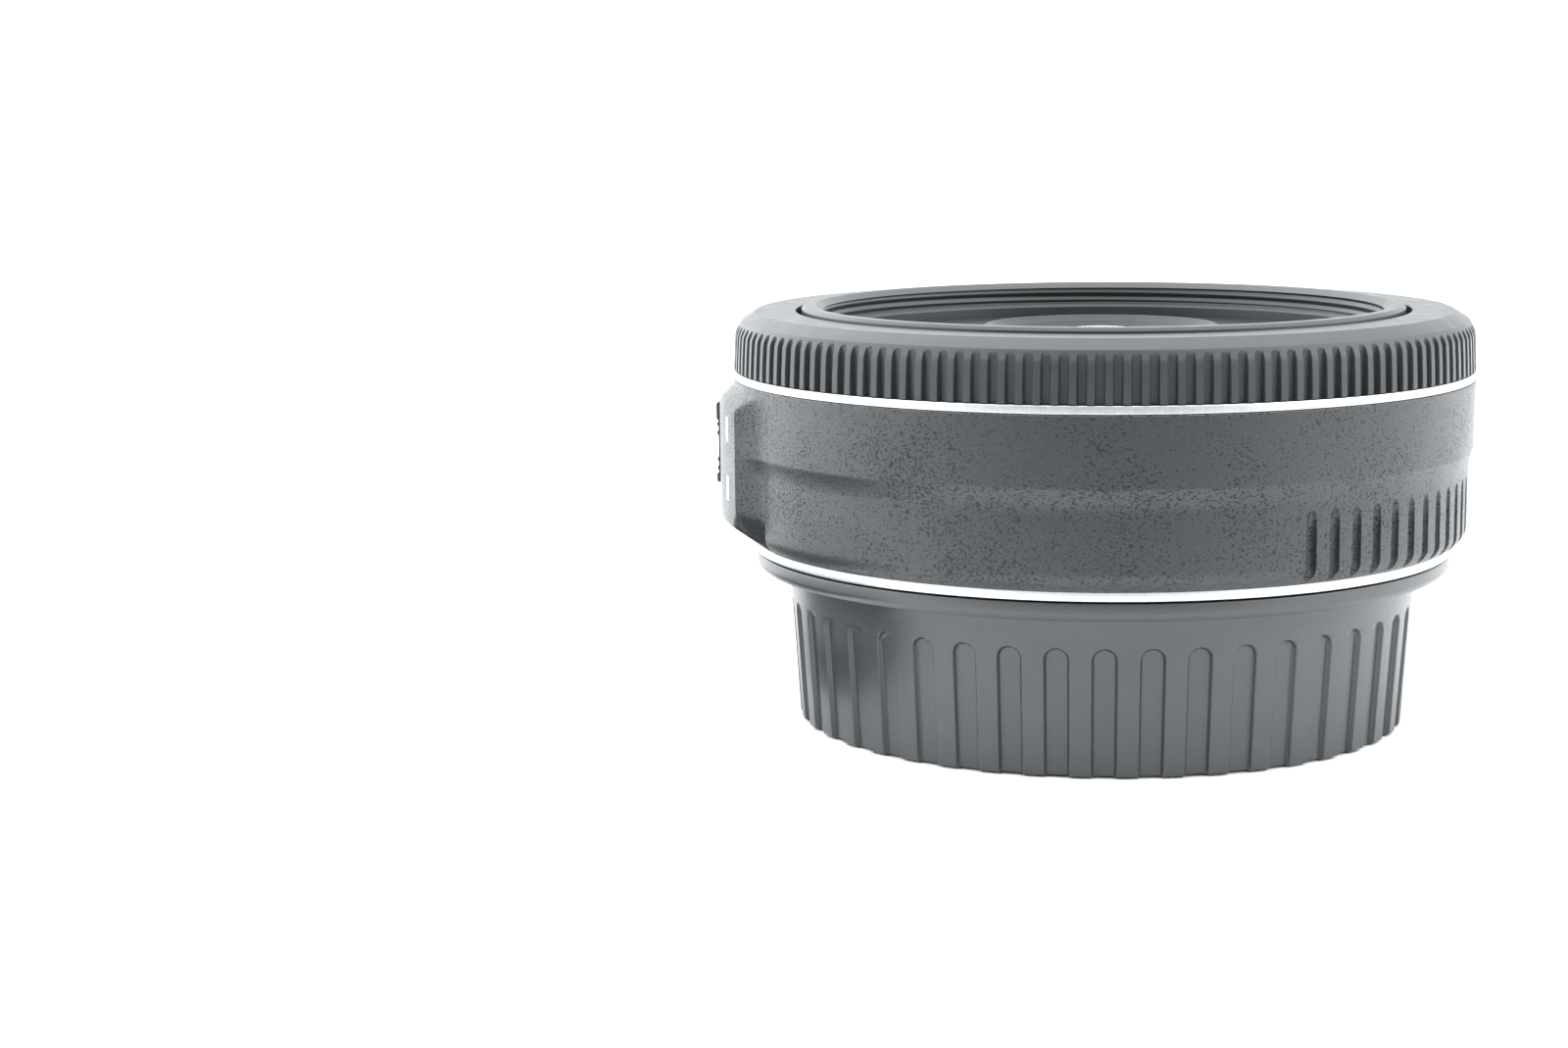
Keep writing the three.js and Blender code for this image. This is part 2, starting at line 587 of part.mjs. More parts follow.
// ---- Focus ring ----
function ribBand() {
  const pitch = 2 * Math.PI / RIBS;
  const outline = [];
  for (const rib of steps(RIBS)) {
    const middle = radians(RIB_BEARING - 90) + rib * pitch;
    for (const [radius, angle] of [[BARREL_R, middle], [FOCUS_RING_GROOVE_R, middle + pitch / 2]]) {
      outline.push(new THREE.Vector2(radius * Math.cos(angle), radius * Math.sin(angle)));
    }
  }
  return plate(outline, FOCUS_RING_LOW_Z, RIB_TOP_Z - FOCUS_RING_LOW_Z);
}

function focusRingGrip() {
  const bore = disc(33, FOCUS_RING_LOW_Z - 1, 40, OUTER_SEGMENTS);
  const ring = turned([
    [FOCUS_RING_BORE_R, FOCUS_RING_LOW_Z], [FOCUS_RING_GROOVE_R - 0.1, FOCUS_RING_LOW_Z],
    [FOCUS_RING_GROOVE_R - 0.1, 37.2],
    [32.0, FOCUS_RING_TOP_Z], [FOCUS_RING_FACE_R, FOCUS_RING_TOP_Z], [FOCUS_RING_FACE_R, 37.2],
    [FOCUS_RING_BORE_R, 37.2],
  ], OUTER_SEGMENTS);
  return ribBand().subtract(bore).add(ring);
}

function encoderComb() {
  const band = tube(29.8, 30.3, 35.8, 37.15, OUTER_SEGMENTS);
  const gaps = steps(COMB_TEETH).map((k) => (
    radialPlate([[29, 35], [31, 35], [31, 36.6], [29, 36.6]], 6, k * 360 / COMB_TEETH)));
  return cut(band, gaps);
}

// ---- Lens unit: the barrel that moves out, with all of the glass ----
function frontBarrel() {
  const barrel = turned([
    [26.3, FRONT_BARREL_LOW_Z], [FRONT_BARREL_R, FRONT_BARREL_LOW_Z], [FRONT_BARREL_R, 38.2],
    [27.5, FRONT_Z], [26.4, FRONT_Z], [FILTER_BORE_R, 38.0], [FILTER_BORE_R, 36.4], [RECESS_R, 36.1],
    [RECESS_R, 34.5], [12.3, 34.5], [12.3, 33.6], [26.3, 33.6],
  ], OUTER_SEGMENTS);
  const followers = FOLLOWER_BEARINGS.map((bearing) => (
    radialPin(FOLLOWER_R, 27, 29.9, bearing, FOLLOWER_Z)));
  return joined([barrel, ...followers]);
}

function nameRing() {
  return turned([[12.3, 34.55], [25.3, 34.55], [25.3, NAME_RING_Z], [12.3, NAME_RING_Z]],
    OUTER_SEGMENTS);
}

function frontBezel() {
  return turned([
    [8.3, 35.3], [12.8, 35.3], [12.8, 35.5], [11.3, 35.65], [10.8, 36.5], [10.35, 36.5], [8.4, 35.55],
  ], INNER_SEGMENTS);
}

function frontCell() {
  return turned([
    [6.3, 29.4], [CELL_R, 29.4], [CELL_R, 32.4], [13.8, 32.4], [13.8, 33.5], [CELL_R, 33.5], [CELL_R, 35.15],
    [9.0, 35.15], [9.0, 31.95], [7.05, 31.95], [7.05, 30.3], [6.3, 30.3],
  ], INNER_SEGMENTS);
}

function rearCell() {
  return turned([
    [10.9, 13.2], [12.4, 13.2], [12.4, 25.5], [5.6, 25.5], [5.6, 25.1], [6.4, 25.1], [6.4, 20.45],
    [7.9, 20.45], [7.9, 17.5], [9.35, 17.5], [9.35, 14.2], [10.9, 14.2],
  ], INNER_SEGMENTS);
}

function rearRetainer() {
  return turned([[8.6, 13.3], [10.75, 13.3], [10.75, 14.1], [8.9, 14.1]], INNER_SEGMENTS);
}

// Points of a spherical face from the axis to the rim; sag is positive where the rim lies below the apex.
function faceArc(apexZ, sag, radius, count = 2) {
  return steps(count + 1).map((k) => {
    const r = radius * k / count;
    if (sag === 0) {
      return [r, apexZ];
    }
    const curve = (radius ** 2 + sag ** 2) / (2 * sag);
    const drop = Math.abs(curve) - Math.sqrt(curve ** 2 - r ** 2);
    return [r, apexZ - Math.sign(sag) * drop];
  });
}

// Lens element: back and front faces with an optional flat border outside each clear radius.
function element(radius, front, back) {
  const backArc = faceArc(back.apex, back.sag, back.clear ?? radius);
  const frontArc = faceArc(front.apex, front.sag, front.clear ?? radius).reverse();
  const profile = [...backArc];
  if (back.clear) {
    profile.push([radius, backArc.at(-1)[1]]);
  }
  if (front.clear) {
    profile.push([radius, frontArc[0][1]]);
  }
  return turned([...profile, ...frontArc], GLASS_SEGMENTS);
}

function irisHousing() {
  const can = turned([
    [5.6, 25.6], [13.6, 25.6], [13.6, 28.0], [12.95, 28.0], [12.95, 26.15], [5.6, 26.15],
  ], INNER_SEGMENTS);
  const pivots = steps(BLADES).map((k) => (
    pin(BLADE_PIN_R + 0.15, BLADE_PIN_CIRCLE_R, k * 360 / BLADES, 25, 27, 8)));
  return cut(can, pivots);
}

function irisCover() {
  return tube(6.3, 13.4, 28.85, 29.3, INNER_SEGMENTS);
}

// Blade at a pivot bearing of 0: an arc arm inside its two pins, with an ear round the pins.
function bladeOutline() {
  const outline = [];
  const arc = (radius, from, to, count) => {
    for (const bearing of spread(from, to, count)) {
      const point = atBearing(radius, bearing, 0);
      outline.push(new THREE.Vector2(point.x, point.y));
    }
  };
  arc(11.7, -4, 20, 2);
  arc(9.3, 24, 112, 5);
  arc(5.4, 106, 4, 5);
  return outline;
}

function irisBlade(k) {
  const lowZ = BLADE_LOW_Z + k * BLADE_LEVEL;
  const arm = plate(bladeOutline(), lowZ, BLADE_THICKNESS);
  const pivot = pin(BLADE_PIN_R, BLADE_PIN_CIRCLE_R, 0, 25.7, lowZ + 0.05, 8);
  const drive = pin(BLADE_PIN_R, BLADE_PIN_CIRCLE_R, BLADE_DRIVE_ANGLE, lowZ + 0.05, 28.65, 8);
  return joined([arm, pivot, drive]).rotate([0, 0, k * 360 / BLADES]);
}

// Where a blade's drive pin is, seen from the drive ring, with both turned to the same share of travel.
function drivePinOnRing(share) {
  const pivot = atBearing(BLADE_PIN_CIRCLE_R, 0, 0);
  const driven = atBearing(BLADE_PIN_CIRCLE_R, BLADE_DRIVE_ANGLE, 0).sub(pivot);
  driven.applyAxisAngle(new THREE.Vector3(0, 0, 1), radians(BLADE_TURN * share)).add(pivot);
  return driven.applyAxisAngle(new THREE.Vector3(0, 0, 1), -radians(IRIS_RING_TURN * share));
}

function driveSlot(k) {
  const half = BLADE_PIN_R + 0.2;
  const path = spread(1.12, -0.12, 5).map(drivePinOnRing);
  const outlines = path.map((centre) => {
    const radius = Math.hypot(centre.x, centre.y);
    const outward = new THREE.Vector3(centre.x / radius, centre.y / radius, 0);
    const inner = centre.clone().addScaledVector(outward, -half);
    const outer = centre.clone().addScaledVector(outward, half);
    return [inner.clone().setZ(27.5), inner.clone().setZ(29.5), outer.clone().setZ(29.5),
      outer.clone().setZ(27.5)];
  });
  return loft(outlines).rotate([0, 0, k * 360 / BLADES]);
}

const IRIS_PITCH_R = IRIS_SECTOR_TEETH * IRIS_MODULE / 2;
const IRIS_PINION_CIRCLE_R = IRIS_PITCH_R + IRIS_PINION_TEETH * IRIS_MODULE / 2;

// The drive ring's toothed sector, kept where the pinion passes over it.
function irisSector() {
  const outline = gearOutline(IRIS_SECTOR_TEETH, IRIS_MODULE, radians(IRIS_BEARING) - Math.PI / 2);
  const teeth = plate(outline, IRIS_RING_LOW_Z, IRIS_RING_TOP_Z - IRIS_RING_LOW_Z);
  const keep = arcBlock(12, 17, 27, 30, IRIS_BEARING - IRIS_RING_TURN - 7, IRIS_BEARING + 7, 6);
  return teeth.intersect(keep);
}

function irisDriveRing() {
  const ring = tube(8.3, 12.6, IRIS_RING_LOW_Z, IRIS_RING_TOP_Z, INNER_SEGMENTS);
  const slots = steps(BLADES).map(driveSlot);
  return cut(ring.add(irisSector()), slots);
}

function aperturePinion() {
  const centre = atBearing(IRIS_PINION_CIRCLE_R, IRIS_BEARING, 0);
  const toothAngle = meshedToothAngle(new THREE.Vector3(), radians(IRIS_BEARING) - Math.PI / 2,
    IRIS_SECTOR_TEETH, centre, IRIS_PINION_TEETH);
  return gear(IRIS_PINION_TEETH, IRIS_MODULE, centre, toothAngle, 27.9, 1.0, 0.5);
}

function apertureMotor() {
  const can = pin(2.9, IRIS_PINION_CIRCLE_R, IRIS_BEARING, 29.2, 33.5, 16);
  const shaft = pin(0.4, IRIS_PINION_CIRCLE_R, IRIS_BEARING, 27.8, 29.3);
  return can.add(shaft);
}

// ---- Focus mode switch ----
// Slider with a row of ridges, and the foot that goes through the barrel to the switch board.
function focusModeSwitch() {
  const ridges = 8;
  const ridgePitch = (SWITCH_KNOB_TOP_Z - SWITCH_KNOB_LOW_Z) / ridges;
  const serrations = steps(ridges).flatMap((k) => {
    const low = SWITCH_KNOB_LOW_Z + k * ridgePitch;
    return [
      [SWITCH_KNOB_R, low + 0.25 * ridgePitch], [SWITCH_KNOB_R, low + 0.65 * ridgePitch],
      [SWITCH_KNOB_R - 0.3, low + 0.95 * ridgePitch],
    ];
  });
  const baseR = SWITCH_POCKET_R + 0.15;
  const outline = [
    [baseR, SWITCH_KNOB_LOW_Z], [SWITCH_KNOB_R - 0.2, SWITCH_KNOB_LOW_Z], ...serrations,
    [baseR, SWITCH_KNOB_TOP_Z],
  ];
  const slider = radialPlate(outline, SWITCH_KNOB_WIDTH, SWITCH_BEARING);
  const foot = radialPlate([
    [31.6, SWITCH_FOOT_LOW_Z], [34.7, SWITCH_FOOT_LOW_Z],
    [34.7, SWITCH_FOOT_TOP_Z], [31.6, SWITCH_FOOT_TOP_Z],
  ], 1.3, SWITCH_BEARING);
  return slider.add(foot);
}

// ---- Assembly ----
const lens = new THREE.Group();

function addPiece(name, shape, material) {
  const mesh = new THREE.Mesh(geometryOf(shape), material());
  mesh.name = name;
  lens.add(mesh);
}

addPiece('barrel_shell', barrelShell(), barrelPlastic);
addPiece('front_trim_ring', frontTrimRing(), satinSilver);
addPiece('mount_plate', mountPlate(), satinSilver);
MOUNT_SCREW_BEARINGS.forEach((bearing, k) => {
  addPiece(`mount_screw_${k + 1}`, mountScrew(bearing), plainSteel);
});
addPiece('rear_baffle', rearBaffle(), innerPlastic);
addPiece('contact_block', contactBlock(), innerPlastic);
for (const k of steps(CONTACTS)) {
  addPiece(`contact_pin_${k + 1}`, contactPin(k), gold);
}
addPiece('main_frame', mainFrame(), innerPlastic);
FRAME_SCREW_BEARINGS.forEach((bearing, k) => {
  addPiece(`frame_screw_${k + 1}`, frameScrew(bearing), plainSteel);
});
addPiece('encoder_sensor', encoderSensor(), chipBlack);
addPiece('circuit_board', circuitBoard(), boardGreen);
addPiece('controller_chip', controllerChip(), chipBlack);
addPiece('switch_board', switchBoard(), boardGreen);
addPiece('gear_plate', gearPlate(), plainSteel);
addPiece('idler_post', idlerPost(), plainSteel);
addPiece('motor_plate', motorPlate(), plainSteel);
addPiece('focus_motor', focusMotor(), plainSteel);

addPiece('focus_ring_grip', focusRingGrip(), ringPlastic);
addPiece('encoder_comb', encoderComb(), chipBlack);
addPiece('cam_sleeve', camSleeve(), innerPlastic);
addPiece('idler_gear', idlerGear(), gearNylon);
addPiece('motor_pinion', motorPinion(), gearNylon);

addPiece('front_barrel', frontBarrel(), ringPlastic);
addPiece('name_ring', nameRing(), ringPlastic);
addPiece('front_bezel', frontBezel(), ringPlastic);
addPiece('front_cell', frontCell(), innerPlastic);
addPiece('rear_cell', rearCell(), innerPlastic);
addPiece('rear_retainer', rearRetainer(), innerPlastic);
addPiece('front_element', element(8.8, { apex: 36.35, sag: 1.5 }, { apex: 35.15, sag: 3.1, clear: 7.1 }),
  coatedGlass);
addPiece('second_element', element(6.9, { apex: 32.5, sag: 1.2 }, { apex: 30.05, sag: -0.4 }), coatedGlass);
addPiece('third_element', element(6.25, { apex: 24.9, sag: 1.25 }, { apex: 21.05, sag: -1.9 }), coatedGlass);
addPiece('fourth_element', element(6.25, { apex: 20.95, sag: -1.9 }, { apex: 20.5, sag: 0 }), coatedGlass);
addPiece('fifth_element', element(7.75, { apex: 19.2, sag: -1.0 }, { apex: 17.7, sag: -0.9 }), coatedGlass);
addPiece('rear_element', element(9.2, { apex: 17.2, sag: 0.7 }, { apex: 14.3, sag: -0.8 }), coatedGlass);
addPiece('iris_housing', irisHousing(), innerPlastic);
addPiece('iris_cover', irisCover(), innerPlastic);
addPiece('aperture_motor', apertureMotor(), plainSteel);
addPiece('aperture_pinion', aperturePinion(), gearNylon);
addPiece('iris_drive_ring', irisDriveRing(), innerPlastic);
for (const k of steps(BLADES)) {
  addPiece(`iris_blade_${k + 1}`, irisBlade(k), bladeSteel);
}

addPiece('focus_mode_switch', focusModeSwitch(), ringPlastic);
addPiece('rear_cap', rearCap(), capPlastic);

export default lens;
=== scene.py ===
"""Fine meshes, materials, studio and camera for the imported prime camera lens.

Lengths are in millimetres until polar(), slab() or upright() turns them into metres. z = 0 is the closed
end of the rear cap and +Z is the optical axis. Bearings are degrees about that axis from -Y, growing
towards +X. An outline is a list of (radius, z) points, anticlockwise; a third value rounds that corner.
"""

import json
import math

import bmesh
import bpy
import numpy as np
from mathutils import Matrix, Vector

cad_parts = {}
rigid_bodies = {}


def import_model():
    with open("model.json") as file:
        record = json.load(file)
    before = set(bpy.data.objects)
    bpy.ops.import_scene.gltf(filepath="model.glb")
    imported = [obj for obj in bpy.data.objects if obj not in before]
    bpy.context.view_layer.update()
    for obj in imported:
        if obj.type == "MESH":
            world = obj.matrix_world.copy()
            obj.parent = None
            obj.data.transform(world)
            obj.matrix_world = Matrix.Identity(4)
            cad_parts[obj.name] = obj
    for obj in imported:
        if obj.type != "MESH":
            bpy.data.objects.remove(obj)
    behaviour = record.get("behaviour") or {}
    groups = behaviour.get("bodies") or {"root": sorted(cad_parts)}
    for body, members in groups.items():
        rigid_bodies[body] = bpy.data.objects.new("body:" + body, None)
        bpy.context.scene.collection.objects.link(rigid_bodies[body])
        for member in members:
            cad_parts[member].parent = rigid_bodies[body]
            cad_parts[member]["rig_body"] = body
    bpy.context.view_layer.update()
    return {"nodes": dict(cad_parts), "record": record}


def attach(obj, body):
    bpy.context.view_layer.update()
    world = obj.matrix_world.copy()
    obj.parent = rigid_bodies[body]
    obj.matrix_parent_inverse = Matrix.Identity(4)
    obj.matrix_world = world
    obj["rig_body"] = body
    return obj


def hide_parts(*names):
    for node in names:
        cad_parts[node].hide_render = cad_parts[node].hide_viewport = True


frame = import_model()

MM = 0.001
ROUND_COLUMNS = 360
FINE_COLUMNS = 720

# The barrel and its switch
BARREL_R = 34.1
BARREL_AT_STEP_R = 34.0
LOWER_BARREL_R = 33.6
SHELL_BORE_R = 32.5
BARREL_LOW_Z = 17.05
SINK_TOP_Z = 18.6                 # below this the barrel curves in to its lower edge
SINK_DEPTH = 0.95
STEP_LOW_Z = 23.6
STEP_TURN_Z = 25.5
STEP_HIGH_Z = 25.85
SHELL_TOP_Z = 31.9
SPIGOT_R = 32.35
SPIGOT_TOP_Z = 36.6
SWITCH_BEARING = -90.0
PAD_R = 35.45
PAD_HALF = 23.0
PAD_FLANK_END = 27.6
PAD_FLANK_CURVE = 1.35
PAD_TOP_Z = 29.9
PAD_TOP_SLOPE = 0.97
PAD_TAPER_TOP_Z = 20.4
PAD_TAPER_SLOPE = 0.55
PAD_UNDERCUT_SLOPE = 1.42
POCKET_FLOOR_R = 34.4
KNOB_R = 35.8
KNOB_LOW_Z = 21.8
KNOB_TOP_Z = 29.4
KNOB_WIDTH = 5.0
KNOB_TRAVEL = 2.0
KNOB_FOOT_LOW_Z = 25.1
KNOB_FOOT_TOP_Z = 27.3
KNOB_FOOT_WIDTH = 1.3
MARK_BEARING = -71.5
MARK_HALF = 0.7
MARK_LENGTH = 2.2
GRIP_PITCH = 4.15
SLOT_HALF = 0.54
SLOT_HEIGHT = 0.85                # from the middle of a slot's round cutter to its floor
# Height and floor radius along a grip slot
SLOT_FLOOR = ((16.6, 32.86), (19.0, 32.90), (21.6, 32.96), (22.4, 33.08), (23.0, 33.28), (23.6, 33.70))
GRIP_PATCHES = ((31.6, 29), (-150.0, 7))

# The mount and the rear cap
FLANGE_R = 32.4
FLANGE_LOW_Z = 16.15
FLANGE_TOP_Z = 17.0
THROAT_R = 22.8
BAYONET_R = 25.0
TAB_R = 26.5
TAB_HALF = 25.0
TAB_BEARINGS = (0, 120, 240)
MOUNT_LOW_Z = 10.6
MOUNT_SCREW_CIRCLE_R = 30.9
MOUNT_SCREW_BEARINGS = (45, 135, 225, 315)
SCREW_HOLE_R = 0.85
SCREW_SEAT_R = 1.3
SCREW_SEAT_Z = 16.7
LOCK_HOLE_R = 1.1
LOCK_HOLE_CIRCLE_R = 28.2
LOCK_HOLE_BEARING = 100
CAP_WALL_LOW_R = 28.1
CAP_WALL_HIGH_R = 28.9
CAP_WALL_TOP_Z = 11.8
CAP_BORE_R = 26.95
CAP_FLOOR = 1.6
CAP_TOP_Z = 15.95
CAP_COLLAR_R = 32.18
CAP_FOOT_R = 27.6
CAP_LUG_HALF = 22
FLUTES = 44
FLUTE_BEARING = 1.15
FLUTE_HALF = 1.075
FLUTE_DEPTH = 0.4
FLUTE_TOP_Z = 11.5

# The focus ring and the lens unit
RING_LOW_Z = 32.74
RING_TOP_Z = 38.05
RING_BORE_R = 32.7
RING_FACE_R = 28.3
VALLEY_R = 33.5
RIBS = 144
RIB_BEARING = 1.27
VALLEY_TOP_Z = 36.95
FRONT_BARREL_R = 27.75
FRONT_Z = 38.5
THREAD_MINOR_R = 25.8
THREAD_PITCH = 0.75
THREAD_DEPTH = 0.18
THREAD_LOW_Z = 36.45
THREAD_TOP_Z = 38.0
FOLLOWER_BEARINGS = (0, 120, 240)
FOLLOWER_Z = 25.1
BLADES = 7
BLADE_LOW_Z = 26.3
BLADE_LEVEL = 0.22
BLADE_THICKNESS = 0.12
BLADE_PIN_CIRCLE_R = 10.8
BLADE_DRIVE_ANGLE = 16.0

# The camera: place in metres, then yaw, pitch and roll in degrees
CAMERA_PLACE_M = (0, -0.2659, 0.0590)
CAMERA_TURNS = (-6.388, 8.825, -0.571)
CAMERA_LENS = 65.36

# The studio, in metres. Painted shade that only reflections show darkens the floor to the right and to the
# front of a corner.
CLEAR_CORNER = (-0.06, 0.03)
CLEAR_REACH = 0.135
DARK_REACH = 0.18
SIDEWAYS_SHARE = 0.58             # the clear floor reaches further to the right than to the front
DARK_CARD_PLACE = (-0.064, -0.010, 0)
FLOOR_REACH = 4.0

# The sky's strength, and the direction, cosine at the edge and depth of each dim part of it
SKY_STRENGTH = 4.1
SKY_DIMMING = (((0, -1, 0.1), 0.35, 3.5), ((0.35, 1, 0.1), 0.4, 2.2))


# ---- Points and meshes ----
def polar(radius, bearing, z):
    """Points in metres; each argument is a number or an array."""
    angle = np.radians(bearing)
    return np.stack(np.broadcast_arrays(radius * np.sin(angle), -radius * np.cos(angle), z), -1) * MM


def rounded(outline, steps=4, closed=True):
    """The outline with each corner that has a third value turned into an arc of that radius."""
    points = []
    count = len(outline)
    for i, corner in enumerate(outline):
        here = np.array(corner[:2], float)
        radius = corner[2] if len(corner) > 2 else 0
        if not radius or (not closed and i in (0, count - 1)):
            points.append(here)
            continue
        before = np.array(outline[i - 1][:2], float) - here
        after = np.array(outline[(i + 1) % count][:2], float) - here
        reach_before, reach_after = np.linalg.norm(before), np.linalg.norm(after)
        before, after = before / reach_before, after / reach_after
        half = math.acos(np.clip(before @ after, -1, 1)) / 2
        reach = min(radius / math.tan(half), 0.49 * reach_before, 0.49 * reach_after)
        start, end = here + before * reach, here + after * reach
        for k in range(steps + 1):
            t = k / steps
            points.append((1 - t) ** 2 * start + 2 * t * (1 - t) * here + t ** 2 * end)
    return np.array(points)


def mesh_object(name, vertices, faces, sharp=32):
    mesh = bpy.data.meshes.new(name)
    mesh.from_pydata(vertices, [], faces)
    tidy(mesh)
    mesh.polygons.foreach_set("use_smooth", [True] * len(mesh.polygons))
    mesh.set_sharp_from_angle(angle=math.radians(sharp))
    obj = bpy.data.objects.new(name, mesh)
    bpy.context.scene.collection.objects.link(obj)
    return obj


def tidy(mesh):
    """Merges points that meet, as at the axis, and turns every face outwards."""
    work = bmesh.new()
    work.from_mesh(mesh)
    bmesh.ops.remove_doubles(work, verts=work.verts, dist=1e-7)
    bmesh.ops.dissolve_degenerate(work, edges=work.edges, dist=1e-8)
    bmesh.ops.recalc_face_normals(work, faces=work.faces)
    work.to_mesh(mesh)
    work.free()


def ring_object(name, rows, sharp=32):
    """Closed solid from rows of points round the axis; the last row joins the first."""
    grid = np.array(rows)
    count, columns = grid.shape[:2]
    index = np.arange(count * columns).reshape(count, columns)
    right = np.roll(index, -1, 1)
    above = np.roll(index, -1, 0)
    corner = np.roll(right, -1, 0)
    faces = np.stack([index, right, corner, above], -1).reshape(-1, 4)
    return mesh_object(name, grid.reshape(-1, 3), faces.tolist(), sharp)


def spun(name, outline, columns=ROUND_COLUMNS, sharp=32):
    bearings = np.arange(columns) * 360 / columns
    return ring_object(name, [polar(r, bearings, z) for r, z in rounded(outline)], sharp)


def lens_solid(name, outline, columns=180):
    """Solid of revolution whose outline starts and ends on the axis."""
    bearings = np.arange(columns) * 360 / columns
    return ring_object(name, [polar(r, bearings, z) for r, z in outline], sharp=40)


def slab(name, outline, frame_of, thickness, edge=0.0):
    """Flat closed outline thickened evenly; frame_of is the matrix that puts it in place."""
    work = bmesh.new()
    corners = [work.verts.new((x * MM, y * MM, -thickness / 2 * MM)) for x, y in outline]
    face = work.faces.new(corners)
    lifted = bmesh.ops.extrude_face_region(work, geom=[face])
    moved = [v for v in lifted["geom"] if isinstance(v, bmesh.types.BMVert)]
    bmesh.ops.translate(work, verts=moved, vec=(0, 0, thickness * MM))
    bmesh.ops.recalc_face_normals(work, faces=work.faces)
    if edge:
        rims = [e for e in work.edges if abs(e.verts[0].co.z - e.verts[1].co.z) < 1e-9]
        bmesh.ops.bevel(work, geom=rims, offset=edge * MM, segments=3, profile=0.5, affect="EDGES",
                        clamp_overlap=True)
    work.transform(frame_of)
    mesh = bpy.data.meshes.new(name)
    work.to_mesh(mesh)
    work.free()
    mesh.polygons.foreach_set("use_smooth", [True] * len(mesh.polygons))
    mesh.set_sharp_from_angle(angle=math.radians(32))
    obj = bpy.data.objects.new(name, mesh)
    bpy.context.scene.collection.objects.link(obj)
    return obj


def radial_frame(bearing):
    """Takes an outline's x to the radius and its y to z, in the plane at that bearing."""
    angle = math.radians(bearing)
    outward = Vector((math.sin(angle), -math.cos(angle), 0))
    return Matrix((
        (outward.x, 0, outward.y, 0),
        (outward.y, 0, -outward.x, 0),
        (0, 1, 0, 0),
        (0, 0, 0, 1)))


def upright(x=0.0, y=0.0, z=0.0):
    return Matrix.Translation((x * MM, y * MM, z * MM))


def circle(radius, count, x=0.0, y=0.0):
    angles = np.arange(count) * 2 * math.pi / count
    return np.stack([x + radius * np.cos(angles), y + radius * np.sin(angles)], -1)


def pin(name, radius, circle_r, bearing, low, high, count=32, edge=0.0):
    x, y, _ = polar(circle_r, bearing, 0) / MM
    return slab(name, circle(radius, count), upright(x, y, (low + high) / 2), high - low, edge)


def arc_block(name, inner, outer, low, high, start, end, edge=0.0):
    bearings = np.linspace(start, end, max(2, int(abs(end - start) / 1.5)))
    outside = polar(outer, bearings, 0)[:, :2] / MM
    inside = polar(inner, bearings[::-1], 0)[:, :2] / MM
    outline = np.concatenate([outside, inside])
    return slab(name, outline, upright(z=(low + high) / 2), high - low, edge)


def combine(obj, others, operation="DIFFERENCE"):
    """Cuts the others from obj, or joins them to it, and deletes them."""
    tool = others[0]
    if len(others) > 1:
        with bpy.context.temp_override(active_object=tool, selected_editable_objects=others):
            bpy.ops.object.join()
    step = obj.modifiers.new("combine", "BOOLEAN")
    step.operation = operation
    step.solver = "MANIFOLD"
    step.object = tool
    depsgraph = bpy.context.evaluated_depsgraph_get()
    mesh = bpy.data.meshes.new_from_object(obj.evaluated_get(depsgraph))
    obj.modifiers.clear()
    old = obj.data
    obj.data = mesh
    bpy.data.meshes.remove(old)
    bpy.data.objects.remove(tool)
    mesh.polygons.foreach_set("use_smooth", [True] * len(mesh.polygons))
    mesh.set_sharp_from_angle(angle=math.radians(32))
    return obj


